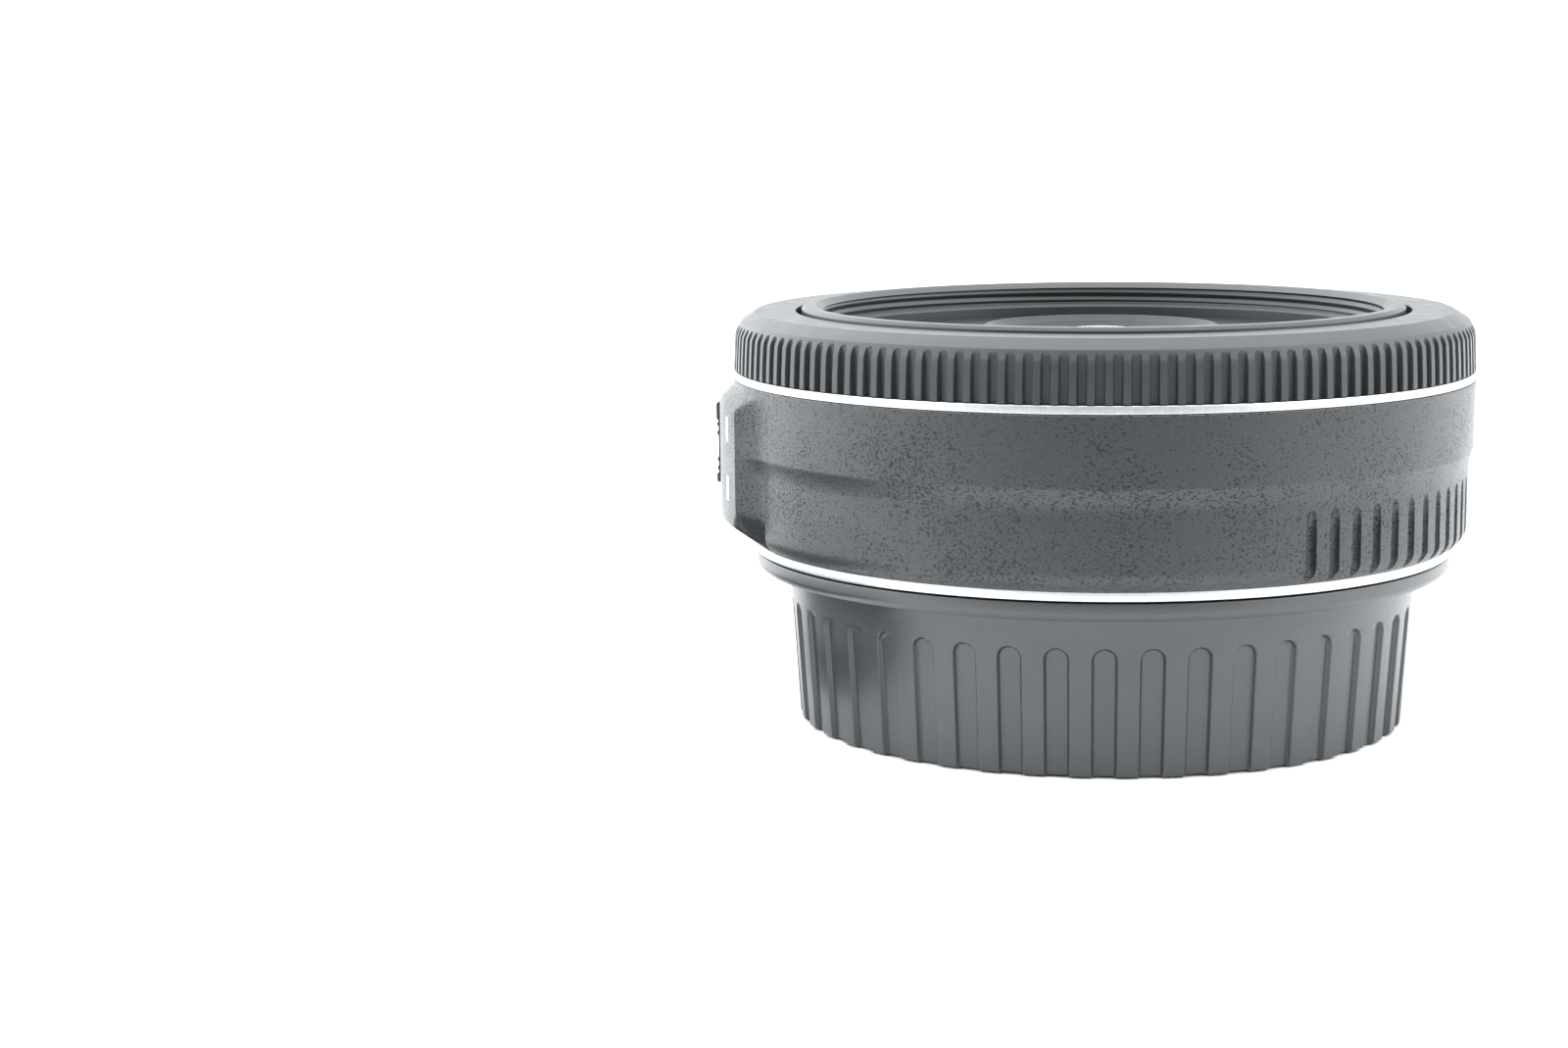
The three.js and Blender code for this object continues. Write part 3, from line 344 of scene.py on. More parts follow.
# ---- Materials ----
class Recipe:
    """Small helper round one material's node tree."""

    def __init__(self, name, color, roughness, metallic=0.0):
        self.material = bpy.data.materials.new(name)
        self.material.use_nodes = True
        self.nodes = self.material.node_tree.nodes
        self.links = self.material.node_tree.links
        self.shader = self.nodes["Principled BSDF"]
        self.shader.inputs["Base Color"].default_value = (*color, 1)
        self.shader.inputs["Roughness"].default_value = roughness
        self.shader.inputs["Metallic"].default_value = metallic
        self.place = self.nodes.new("ShaderNodeTexCoord").outputs["Object"]

    def link(self, source, node, socket):
        self.links.new(source, node.inputs[socket])

    def math(self, operation, first, second=None):
        node = self.nodes.new("ShaderNodeMath")
        node.operation = operation
        for socket, value in enumerate((first, second)):
            if value is None:
                continue
            if isinstance(value, (int, float)):
                node.inputs[socket].default_value = value
            else:
                self.links.new(value, node.inputs[socket])
        return node.outputs[0]

    def turned(self):
        """Coordinates that only change along the radius and the axis, for turning marks."""
        split = self.nodes.new("ShaderNodeSeparateXYZ")
        self.links.new(self.place, split.inputs[0])
        x, y, z = split.outputs
        radius = self.math("SQRT", self.math("ADD", self.math("MULTIPLY", x, x), self.math("MULTIPLY", y, y)))
        merge = self.nodes.new("ShaderNodeCombineXYZ")
        self.links.new(radius, merge.inputs[0])
        self.links.new(z, merge.inputs[2])
        return merge.outputs[0]

    def stretched(self, share):
        """Coordinates that run along the axis at this share of their speed."""
        node = self.nodes.new("ShaderNodeMapping")
        self.links.new(self.place, node.inputs["Vector"])
        node.inputs["Scale"].default_value = (1, 1, share)
        return node.outputs["Vector"]

    def noise(self, size, detail=3.0, roughness=0.5, at=None):
        """Noise whose features are about size millimetres across."""
        node = self.nodes.new("ShaderNodeTexNoise")
        node.inputs["Scale"].default_value = 1 / (size * MM)
        node.inputs["Detail"].default_value = detail
        node.inputs["Roughness"].default_value = roughness
        self.links.new(at or self.place, node.inputs["Vector"])
        return node.outputs["Fac"]

    def cells(self, size):
        node = self.nodes.new("ShaderNodeTexVoronoi")
        node.inputs["Scale"].default_value = 1 / (size * MM)
        self.links.new(self.place, node.inputs["Vector"])
        return node.outputs["Distance"]

    def span(self, value, low, high, to_low, to_high):
        """Maps low..high to to_low..to_high, clamped."""
        node = self.nodes.new("ShaderNodeMapRange")
        self.links.new(value, node.inputs["Value"])
        for socket, number in zip(("From Min", "From Max", "To Min", "To Max"), (low, high, to_low, to_high)):
            node.inputs[socket].default_value = number
        return node.outputs["Result"]

    def shade(self, factor, first, second):
        """Base colour between two colours by factor."""
        node = self.nodes.new("ShaderNodeMix")
        node.data_type = "RGBA"
        self.links.new(factor, node.inputs["Factor"])
        node.inputs["A"].default_value = (*first, 1)
        node.inputs["B"].default_value = (*second, 1)
        self.links.new(node.outputs["Result"], self.shader.inputs["Base Color"])

    def roughen(self, factor, low, high, first=0.3, last=0.7):
        """Roughness low to high as the factor goes from first to last."""
        self.links.new(self.span(factor, first, last, low, high), self.shader.inputs["Roughness"])

    def bump(self, height, microns):
        """Adds a height field to the normal, on top of any before it."""
        node = self.nodes.new("ShaderNodeBump")
        node.inputs["Distance"].default_value = microns * 1e-6
        self.links.new(height, node.inputs["Height"])
        normal = self.shader.inputs["Normal"]
        if normal.is_linked:
            self.links.new(normal.links[0].from_socket, node.inputs["Normal"])
        self.links.new(node.outputs["Normal"], normal)


def grey(value, blue=1.06):
    """Grey whose blue is this many times its red."""
    return (value, value * (1 + blue) / 2, value * blue)


def barrel_plastic():
    """Black paint with a leathery grain: patches of scattered dark pits between low smooth tops."""
    m = Recipe("barrel_plastic", grey(0.013, 1.12), 0.36)
    m.shader.inputs["IOR"].default_value = 1.62
    grain = m.noise(0.28, detail=4, roughness=0.6, at=m.stretched(1.5))
    patches = m.span(m.noise(6.5, detail=3), 0.35, 0.65, 0.06, -0.01)
    pits = m.span(m.math("ADD", grain, patches), 0.40, 0.52, 0, 1)
    m.shade(pits, grey(0.005, 1.5), grey(0.014, 1.2))
    m.roughen(pits, 0.44, 0.35, 0, 1)
    m.link(m.span(pits, 0, 1, 0.24, 0.50), m.shader, "Specular IOR Level")
    m.bump(pits, 15)
    m.bump(m.noise(0.12, detail=2), 5)
    m.bump(m.noise(2.6, detail=2), 8)
    return m.material


def ring_plastic():
    """Smooth satin black with a very fine moulded texture."""
    m = Recipe("ring_plastic", grey(0.027, 1.12), 0.36)
    grain = m.noise(0.06, detail=2)
    cloud = m.noise(1.9, detail=3)
    m.shade(cloud, grey(0.023, 1.12), grey(0.031, 1.12))
    m.roughen(cloud, 0.32, 0.40)
    m.bump(grain, 3)
    return m.material


def cap_plastic():
    """Injection-moulded cap with flow clouds and fine handling scuffs."""
    m = Recipe("cap_plastic", grey(0.023, 1.12), 0.34)
    m.shader.inputs["IOR"].default_value = 1.68
    grain = m.noise(0.09, detail=2)
    cloud = m.noise(3.4, detail=4, roughness=0.6)
    scuffs = m.noise(0.5, detail=6, roughness=0.75)
    m.shade(cloud, grey(0.019, 1.12), grey(0.027, 1.12))
    m.roughen(scuffs, 0.28, 0.40)
    m.bump(grain, 4)
    m.bump(cloud, 8)
    return m.material


def recess_plastic():
    """The name ring's and bezel's black: duller than the focus ring's."""
    m = Recipe("recess_plastic", grey(0.016, 1.12), 0.42)
    m.shader.inputs["Specular IOR Level"].default_value = 0.24
    cloud = m.noise(1.9, detail=3)
    m.shade(cloud, grey(0.013, 1.12), grey(0.019, 1.12))
    m.roughen(cloud, 0.38, 0.46)
    m.bump(m.noise(0.06, detail=2), 3)
    return m.material


def inner_plastic():
    """Matt black with fine turned lines."""
    m = Recipe("inner_plastic", grey(0.022, 1.12), 0.45)
    lines = m.noise(0.12, detail=2, at=m.turned())
    m.shade(lines, grey(0.018, 1.12), grey(0.026, 1.12))
    m.roughen(lines, 0.38, 0.52)
    m.bump(lines, 4)
    return m.material


def blade_steel():
    m = Recipe("blade_steel", grey(0.03), 0.4, metallic=0.6)
    rub = m.noise(0.7, detail=5, roughness=0.7)
    m.shade(rub, grey(0.02), grey(0.05))
    m.roughen(rub, 0.34, 0.5)
    m.bump(m.noise(0.05), 2)
    return m.material


def satin_silver():
    """Dull bright plating: fine marks across the band and clouds of wear."""
    m = Recipe("satin_silver", grey(0.47, 1.03), 0.30, metallic=1.0)
    marks = m.noise(0.05, detail=3, roughness=0.6, at=m.stretched(0.04))
    m.shade(m.span(marks, 0.35, 0.65, 0, 1), grey(0.53, 1.03), grey(0.63, 1.03))
    m.roughen(m.noise(0.6), 0.32, 0.42)
    m.bump(marks, 0.5)
    return m.material


def plain_steel():
    m = Recipe("plain_steel", grey(0.55, 1.02), 0.35, metallic=1.0)
    grain = m.noise(0.3, detail=5, roughness=0.7)
    m.shade(grain, grey(0.48, 1.02), grey(0.62, 1.02))
    m.roughen(grain, 0.28, 0.42)
    m.bump(m.noise(0.05), 1.5)
    return m.material


def gold():
    m = Recipe("gold", (0.83, 0.62, 0.25), 0.25, metallic=1.0)
    wear = m.noise(0.25, detail=4)
    m.shade(wear, (0.78, 0.56, 0.22), (0.88, 0.68, 0.30))
    m.roughen(wear, 0.2, 0.34)
    return m.material


def board():
    """Green solder mask over faint copper tracks."""
    m = Recipe("board", (0.02, 0.10, 0.06), 0.4)
    tracks = m.cells(0.9)
    m.shade(m.span(tracks, 0.30, 0.36, 0, 1), (0.03, 0.15, 0.08), (0.015, 0.08, 0.045))
    m.roughen(m.noise(0.8), 0.3, 0.45)
    m.bump(m.span(tracks, 0.30, 0.36, 1, 0), 15)
    return m.material


def chip():
    m = Recipe("chip", grey(0.015), 0.5)
    grain = m.noise(0.08, detail=3)
    m.shade(grain, grey(0.012), grey(0.02))
    m.roughen(grain, 0.45, 0.6)
    m.bump(grain, 6)
    return m.material


def gear_nylon():
    m = Recipe("gear_nylon", (0.72, 0.70, 0.62), 0.45)
    cloud = m.noise(1.2, detail=3)
    m.shade(cloud, (0.68, 0.66, 0.57), (0.76, 0.74, 0.67))
    m.roughen(cloud, 0.4, 0.52)
    m.bump(m.noise(0.08), 3)
    return m.material


def coated_glass():
    """Clear glass with a green and magenta sheen from its anti-reflection coating."""
    m = Recipe("coated_glass", (1, 1, 1), 0.02)
    dust = m.noise(0.35, detail=6, roughness=0.8)
    m.roughen(dust, 0.0, 0.03, 0.55, 0.8)
    m.shader.inputs["Transmission Weight"].default_value = 1.0
    m.shader.inputs["IOR"].default_value = 1.52
    m.shader.inputs["Thin Film Thickness"].default_value = 420
    m.shader.inputs["Thin Film IOR"].default_value = 1.38
    return m.material


def white_paint():
    m = Recipe("white_paint", (0.82, 0.82, 0.80), 0.45)
    m.shade(m.noise(0.15), (0.78, 0.78, 0.76), (0.86, 0.86, 0.84))
    m.bump(m.noise(0.06), 2)
    return m.material


MATERIALS = {make.__name__: make() for make in (
    barrel_plastic, ring_plastic, recess_plastic, cap_plastic, inner_plastic, blade_steel, satin_silver,
    plain_steel, gold, board, chip, gear_nylon, coated_glass, white_paint)}
SLOT_OF = {part["node"]: part["material_slot"] for part in frame["record"]["subparts"]}


def stand_in(obj, node, material=None):
    """obj takes the CAD node's place, its body and slot, and that slot's material or the one named."""
    slot = SLOT_OF[node]
    obj.data.materials.clear()
    obj.data.materials.append(MATERIALS[material or slot])
    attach(obj, frame["nodes"][node]["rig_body"])
    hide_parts(node)
    return obj


# ---- Barrel ----
def smooth_step(value, low, high):
    t = np.clip((value - low) / (high - low), 0, 1)
    return t * t * (3 - 2 * t)


def barrel_outside(z):
    """Radius of the barrel without its pad: a step that turns in crisply and fades out slowly below."""
    slope = (BARREL_R - BARREL_AT_STEP_R) / (SHELL_TOP_Z - STEP_HIGH_Z)
    upper = BARREL_AT_STEP_R + slope * (z - STEP_HIGH_Z)
    drop = BARREL_AT_STEP_R - LOWER_BARREL_R
    turn_in = np.clip((STEP_HIGH_Z - z) / (STEP_HIGH_Z - STEP_TURN_Z), 0, 1)
    fade = np.clip((z - STEP_LOW_Z) / (STEP_TURN_Z - STEP_LOW_Z), 0, 1)
    share = (STEP_HIGH_Z - STEP_TURN_Z) / (STEP_HIGH_Z - STEP_LOW_Z)
    above_turn = np.maximum(upper, BARREL_AT_STEP_R) - drop * share * turn_in ** 2
    below_turn = LOWER_BARREL_R + drop * (1 - share) * fade ** 2
    radius = np.where(z > STEP_TURN_Z, above_turn, below_turn)
    sink = np.clip((SINK_TOP_Z - z) / (SINK_TOP_Z - BARREL_LOW_Z), 0, 1)
    return radius - SINK_DEPTH * sink ** 2.2


def soft_least(first, second, blend):
    """The lesser of two heights, with the crease between them rounded."""
    gap = np.clip(0.5 + 0.5 * (second - first) / blend, 0, 1)
    return second * (1 - gap) + first * gap - blend * gap * (1 - gap)


def pad_outside(offset, z):
    """Radius of the raised switch pad: flat face, hollow flanks, and a top end that slopes over both."""
    past = np.maximum((np.abs(offset) - PAD_HALF) / (PAD_FLANK_END - PAD_HALF), 0)
    flank = PAD_R - (PAD_R - barrel_outside(z)) * (1 - np.clip(1 - past, 0, 1) ** PAD_FLANK_CURVE)
    top = PAD_R - PAD_TOP_SLOPE * (z - PAD_TOP_Z)
    return soft_least(flank, top, 0.4)


def outside_of_shell(bearings, z):
    """The barrel with its pad. The flanks taper in near their foot, and a cone cuts the pad's low end."""
    offset = (bearings - SWITCH_BEARING + 180) % 360 - 180
    z = np.full_like(bearings, z)
    away = np.abs(offset)
    beyond_pad = smooth_step(away, PAD_FLANK_END - 0.6, PAD_FLANK_END + 0.2)
    on_flank = smooth_step(away, PAD_HALF - 1.2, PAD_HALF + 0.8) * (1 - beyond_pad)
    along_flank = np.clip((away - PAD_HALF) / (PAD_FLANK_END - PAD_HALF), 0, 1)
    below = PAD_TAPER_TOP_Z - 0.5 * along_flank - z
    taper = PAD_TAPER_SLOPE * (below + np.hypot(below, 0.35)) / 2
    radius = np.maximum(barrel_outside(z), pad_outside(offset, z)) - taper * on_flank
    cone = FLANGE_R + 0.05 + PAD_UNDERCUT_SLOPE * (z - BARREL_LOW_Z)
    out_of_the_way = 9 * beyond_pad
    return soft_least(radius, cone + out_of_the_way, 0.5)


def shell_grid():
    """Bearings and heights of the barrel's points, closer together where its surface turns."""
    edge = np.concatenate([
        np.arange(PAD_HALF - 0.6, PAD_HALF + 2.6, 0.14),
        np.arange(PAD_FLANK_END - 0.8, PAD_FLANK_END + 0.4, 0.15)])
    near_pad = SWITCH_BEARING + np.concatenate([edge, -edge])
    bearings = np.unique(np.round(np.concatenate([np.arange(-180, 180, 0.5), near_pad]), 4))
    heights = np.concatenate([
        np.linspace(BARREL_LOW_Z, 18.7, 16),
        np.linspace(18.8, 21.0, 16)[:-1],
        np.linspace(21.0, STEP_LOW_Z, 6)[:-1],
        np.linspace(STEP_LOW_Z, STEP_TURN_Z, 10)[:-1],
        np.linspace(STEP_TURN_Z, STEP_HIGH_Z, 7)[:-1],
        np.linspace(STEP_HIGH_Z, 27.8, 6)[:-1],
        np.linspace(27.8, SHELL_TOP_Z - 0.08, 40)])
    return bearings, heights


def barrel_shell():
    bearings, heights = shell_grid()
    rows = [polar(outside_of_shell(bearings, z), bearings, z) for z in heights]
    top_edge = np.minimum(outside_of_shell(bearings, SHELL_TOP_Z), BARREL_R - 0.06)
    rows.append(polar(top_edge, bearings, SHELL_TOP_Z))
    inside = [
        (SPIGOT_R, SHELL_TOP_Z), (SPIGOT_R, SPIGOT_TOP_Z, 0.1), (31.5, SPIGOT_TOP_Z, 0.1), (31.5, 34.05),
        (30.4, 34.05), (30.4, 33.2), (SHELL_BORE_R, 31.5), (SHELL_BORE_R, 18.7), (29.2, 18.7),
        (29.2, BARREL_LOW_Z)]
    rows += [polar(r, bearings, z) for r, z in rounded(inside, closed=False)]
    shell = ring_object("barrel_shell_fine", rows, sharp=40)
    cutters = [grip_slot(first + k * GRIP_PITCH) for first, count in GRIP_PATCHES for k in range(count)]
    combine(shell, cutters)
    low = KNOB_LOW_Z - KNOB_TRAVEL - 0.2
    high = KNOB_TOP_Z + 0.2
    pocket_outline = [(POCKET_FLOOR_R, low), (37, low), (37, high), (POCKET_FLOOR_R, high)]
    pocket = slab("pocket", pocket_outline, radial_frame(SWITCH_BEARING), KNOB_WIDTH + 0.4)
    combine(shell, [pocket])
    foot_low = KNOB_FOOT_LOW_Z - KNOB_TRAVEL - 0.3
    foot_high = KNOB_FOOT_TOP_Z + 0.3
    foot_outline = [(31, foot_low), (35, foot_low), (35, foot_high), (31, foot_high)]
    combine(shell, [slab("foot_slot", foot_outline, radial_frame(SWITCH_BEARING), KNOB_FOOT_WIDTH + 0.5)])
    for bearing in MOUNT_SCREW_BEARINGS:
        combine(shell, [pin("screw_hole", SCREW_HOLE_R, MOUNT_SCREW_CIRCLE_R, bearing, 16, 18.72)])
    return stand_in(shell, "barrel_shell")


def grip_slot(bearing):
    """Cutter for one deep round-bottomed slot, level at first and then rising out of the surface."""
    sides = 24
    angles = np.arange(sides) * 2 * math.pi / sides
    rows = []
    for z, floor in SLOT_FLOOR:
        across = SLOT_HALF * np.cos(angles)
        outward = floor + SLOT_HEIGHT * (1 + np.sin(angles))
        rows.append(np.stack([across, -outward, np.full(sides, z)], -1) * MM)
    vertices = [Matrix.Rotation(math.radians(bearing), 4, "Z") @ Vector(v) for row in rows for v in row]
    faces = [tuple(range(sides)), tuple(range(len(vertices) - sides, len(vertices)))]
    for row in range(len(rows) - 1):
        for k in range(sides):
            here, beside = row * sides + k, row * sides + (k + 1) % sides
            faces.append((here, beside, beside + sides, here + sides))
    return mesh_object("grip_slot", vertices, faces)


# ---- Focus ring ----
def ribbed_row(z, crest):
    """One row of the grip: valleys of constant floor radius whose tops close as arches."""
    pitch = math.radians(360 / RIBS) * BARREL_R
    edge, floor = 0.44, 0.33
    half = np.array([0.0, 0.20, 0.32, 0.35, 0.38, 0.41, 0.44, 0.56])
    offsets = np.concatenate([half, [pitch / 2], -half[:0:-1]])
    arch_z = VALLEY_TOP_Z - edge
    climb = max(0.0, z - arch_z)
    inside = np.abs(offsets) <= edge
    squeeze = math.sqrt(max(0.0, 1 - (climb / edge) ** 2)) if climb < edge else 0.0
    relax = np.clip((climb - edge) / 0.25, 0, 1)
    squeeze = max(squeeze, 0.12, relax)
    offsets = np.where(inside, offsets * squeeze, offsets)
    reach = np.hypot(offsets, climb)
    depth = 1 - smooth_step(reach, floor, edge)
    bearings = np.degrees(offsets / BARREL_R)
    centres = RIB_BEARING + (np.arange(RIBS) + 0.5) * 360 / RIBS
    radius = crest - depth * max(0.0, crest - VALLEY_R)
    order = np.argsort(bearings)
    bearings, radius = bearings[order], radius[order]
    return polar(np.tile(radius, RIBS), (centres[:, None] + bearings[None, :]).ravel(), z)


def focus_ring():
    outline = rounded([
        (BARREL_R - 0.10, RING_LOW_Z), (BARREL_R, RING_LOW_Z + 0.10), (34.03, 34.6, 3), (33.93, 36.2, 1.4),
        (33.42, 37.2, 0.35), (32.05, RING_TOP_Z, 0.12), (RING_FACE_R, RING_TOP_Z, 0.10),
        (RING_FACE_R, 37.2), (RING_BORE_R, 37.2), (RING_BORE_R, RING_LOW_Z)], steps=6)
    dense = [outline[0]]
    for low, high in zip(outline[:-1], outline[1:]):
        on_grip = high[1] > low[1] + 0.02 and high[1] < RING_TOP_Z - 0.5 and low[0] > 33
        near_arches = on_grip and low[1] > 35.9
        count = 3 if on_grip else 1
        if near_arches:
            count = max(1, int((high[1] - low[1]) / 0.06))
        dense += [low + (high - low) * (k + 1) / count for k in range(count)]
    rows = [ribbed_row(z, r) for r, z in dense]
    return stand_in(ring_object("focus_ring_grip_fine", rows, sharp=45), "focus_ring_grip")


def front_trim_ring():
    low, high = SHELL_TOP_Z + 0.06, RING_LOW_Z - 0.06
    ring = spun("front_trim_ring_fine", [
        (SPIGOT_R + 0.05, low), (BARREL_R - 0.02, low, 0.05), (BARREL_R - 0.02, high, 0.12),
        (SPIGOT_R + 0.05, high)], FINE_COLUMNS)
    return stand_in(ring, "front_trim_ring")


# ---- Mount and rear cap ----
def mount_plate():
    plate = spun("mount_plate_fine", [
        (THROAT_R, MOUNT_LOW_Z, 0.15), (BAYONET_R, MOUNT_LOW_Z, 0.15), (BAYONET_R, FLANGE_LOW_Z, 0.1),
        (FLANGE_R, FLANGE_LOW_Z, 0.12), (FLANGE_R, FLANGE_TOP_Z, 0.10), (THROAT_R, FLANGE_TOP_Z, 0.15)],
        FINE_COLUMNS)
    tabs = []
    for middle in TAB_BEARINGS:
        start, end = middle - TAB_HALF, middle + TAB_HALF
        tabs.append(arc_block("tab", BAYONET_R - 0.4, TAB_R, MOUNT_LOW_Z, 12.2, start, end, 0.12))
    combine(plate, tabs, "UNION")
    cutters = [pin("lock_hole", LOCK_HOLE_R, LOCK_HOLE_CIRCLE_R, LOCK_HOLE_BEARING, 15, 18)]
    holes = []
    for bearing in MOUNT_SCREW_BEARINGS:
        cutters.append(pin("seat", SCREW_SEAT_R, MOUNT_SCREW_CIRCLE_R, bearing, 15, SCREW_SEAT_Z))
        holes.append(pin("hole", SCREW_HOLE_R, MOUNT_SCREW_CIRCLE_R, bearing, 15, 18))
    combine(plate, cutters)
    combine(plate, holes)
    return stand_in(plate, "mount_plate")


def fluted_row(z, crest):
    """One row of the cap's wall: shallow flat-floored channels with round tops."""
    pitch = math.radians(360 / FLUTES) * CAP_WALL_LOW_R
    edge, floor = FLUTE_HALF + 0.03, FLUTE_HALF - 0.20
    half = np.array([0.0, 0.45, 0.80, floor, 0.93, 0.99, 1.05, edge, 1.35, 1.7])
    offsets = np.concatenate([half, [pitch / 2], -half[:0:-1]])
    arch_z = FLUTE_TOP_Z - edge
    climb = max(0.0, z - arch_z)
    squeeze = math.sqrt(max(0.0, 1 - (climb / edge) ** 2)) if climb < edge else 0.0
    relax = np.clip((climb - edge) / 0.5, 0, 1)
    squeeze = max(squeeze, 0.06, relax)
    offsets = np.where(np.abs(offsets) <= edge, offsets * squeeze, offsets)
    reach = np.hypot(offsets, climb)
    depth = FLUTE_DEPTH * (1 - smooth_step(reach, floor, edge)) * (z < FLUTE_TOP_Z + 0.01)
    order = np.argsort(offsets)
    bearings = np.degrees(offsets[order] / CAP_WALL_LOW_R)
    centres = FLUTE_BEARING + np.arange(FLUTES) * 360 / FLUTES
    radius = crest - depth[order]
    return polar(np.tile(radius, FLUTES), (centres[:, None] + bearings[None, :]).ravel(), z)


def cap_wall(z):
    """Radius of the cap's slightly flared wall."""
    return CAP_WALL_LOW_R + (CAP_WALL_HIGH_R - CAP_WALL_LOW_R) * z / CAP_WALL_TOP_Z


def rear_cap():
    """Fluted cup with a collar, a plug that closes the middle of its floor, and three bayonet lugs."""
    foot_z, arches_z, above_arches_z = 0.25, 10.3, 11.7
    straight = np.linspace(foot_z, arches_z, 8)
    arches = arches_z + 1.3 * np.sin(np.linspace(0, math.pi / 2, 12))[1:]
    wall = [(cap_wall(z), z) for z in [*straight, *arches]]
    collar_and_inside = rounded([
        (cap_wall(above_arches_z), above_arches_z), (29.0, 12.6, 1.5), (29.25, 14.2, 0.15),
        (31.75, 14.38, 0.25), (CAP_COLLAR_R, 14.9, 0.5), (CAP_COLLAR_R, CAP_TOP_Z, 0.12),
        (CAP_BORE_R, CAP_TOP_Z, 0.2), (CAP_BORE_R, CAP_FLOOR, 0.5), (0.5, CAP_FLOOR)], closed=False)
    under = rounded([
        (0.5, 0.35), (24.6, 0.35, 0.2), (25.0, 0.0, 0.2), (CAP_FOOT_R, 0.0, 0.3), (cap_wall(foot_z), foot_z)],
        closed=False)
    rows = [fluted_row(z, r) for r, z in [*wall, *collar_and_inside, *under[:-1]]]
    cap = ring_object("rear_cap_fine", rows, sharp=45)
    combine(cap, [pin("middle", 0.6, 0, 0, 0.35, CAP_FLOOR, 176)], "UNION")
    lugs = []
    for middle in TAB_BEARINGS:
        start, end = middle - CAP_LUG_HALF, middle + CAP_LUG_HALF
        lugs.append(arc_block("lug", BAYONET_R + 0.35, CAP_BORE_R + 0.3, 12.55, 13.9, start, end))
    combine(cap, lugs, "UNION")
    return stand_in(cap, "rear_cap")


# ---- Lens unit ----
def thread_radius(bearing, z):
    """Minor radius plus a rounded helical groove that fades out at both ends."""
    turn = z / THREAD_PITCH - bearing / 360
    groove = 0.5 + 0.5 * np.cos(2 * math.pi * turn)
    fade_in = smooth_step(z, THREAD_LOW_Z, THREAD_LOW_Z + 0.15)
    fade_out = 1 - smooth_step(z, THREAD_TOP_Z - 0.1, THREAD_TOP_Z)
    return THREAD_MINOR_R + THREAD_DEPTH * groove * fade_in * fade_out


def front_barrel():
    """Tube with the filter thread inside its rim, a floor behind the name ring, and three cam followers."""
    bearings = np.arange(FINE_COLUMNS) * 360 / FINE_COLUMNS
    outside = rounded([
        (26.3, 23.5), (FRONT_BARREL_R, 23.5), (FRONT_BARREL_R, 38.22, 0.12), (27.45, FRONT_Z, 0.12),
        (26.5, FRONT_Z, 0.15), (THREAD_MINOR_R, THREAD_TOP_Z)], closed=False)
    rows = [polar(r, bearings, z) for r, z in outside]
    for z in np.linspace(THREAD_TOP_Z, THREAD_LOW_Z, 48)[1:]:
        rows.append(polar(thread_radius(bearings, z), bearings, z))
    inside = rounded([
        (THREAD_MINOR_R, 36.4), (25.45, 36.1, 0.1), (25.45, 34.5), (12.3, 34.5), (12.3, 33.6), (26.3, 33.6)],
        closed=False)
    rows += [polar(r, bearings, z) for r, z in inside]
    barrel = ring_object("front_barrel_fine", rows, sharp=30)
    followers = []
    lay_down = Matrix.Rotation(math.radians(90), 4, "X")
    for bearing in FOLLOWER_BEARINGS:
        follower = pin("follower", 0.8, 0, 0, 27, 29.9, 24, 0.1)
        turn = Matrix.Rotation(math.radians(bearing), 4, "Z")
        follower.data.transform(turn @ upright(z=FOLLOWER_Z) @ lay_down)
        followers.append(follower)
    combine(barrel, followers, "UNION")
    return stand_in(barrel, "front_barrel")


def name_ring():
    """Flat ring with a fine groove near its edge and a shallow step near the bezel."""
    ring = spun("name_ring_fine", [
        (12.3, 34.55), (25.3, 34.55, 0.05), (25.3, 35.2, 0.08), (24.7, 35.2), (24.6, 35.1, 0.02),
        (24.4, 35.1, 0.02), (24.3, 35.2), (13.6, 35.2, 0.03), (13.4, 35.05, 0.03), (12.3, 35.05)],
        FINE_COLUMNS)
    return stand_in(ring, "name_ring", "recess_plastic")


def front_bezel():
    """Raised ring that holds the front element, stepped down to the glass inside."""
    bezel = spun("front_bezel_fine", [
        (8.3, 35.3), (12.8, 35.3, 0.06), (12.8, 35.5, 0.08), (11.4, 35.62, 0.3), (10.85, 36.35, 0.12),
        (10.65, 36.5, 0.08), (10.35, 36.5, 0.08), (9.5, 36.0), (9.35, 36.0), (8.95, 35.75),
        (8.4, 35.55, 0.05)])
    return stand_in(bezel, "front_bezel", "recess_plastic")


def front_cell():
    return stand_in(spun("front_cell_fine", [
        (6.3, 29.4), (11.9, 29.4), (11.9, 32.4), (13.8, 32.4, 0.1), (13.8, 33.5, 0.1), (12.05, 33.5),
        (12.05, 35.15), (9.0, 35.15), (9.0, 31.95), (7.05, 31.95), (7.05, 30.3), (6.3, 30.3)]), "front_cell")


def rear_cell():
    return stand_in(spun("rear_cell_fine", [
        (10.9, 13.2), (12.4, 13.2, 0.2), (12.4, 25.5), (5.6, 25.5, 0.1), (5.6, 25.1), (6.4, 25.1),
        (6.4, 20.45), (7.9, 20.45), (7.9, 17.5), (9.35, 17.5), (9.35, 14.2), (10.9, 14.2)]), "rear_cell")


def rear_retainer():
    return stand_in(spun("rear_retainer_fine", [
        (8.6, 13.3, 0.1), (10.75, 13.3, 0.1), (10.75, 14.1), (8.9, 14.1)]), "rear_retainer")


def iris_cover():
    return stand_in(spun("iris_cover_fine", [
        (6.3, 28.85), (13.4, 28.85), (13.4, 29.3, 0.1), (6.3, 29.3, 0.1)]), "iris_cover")


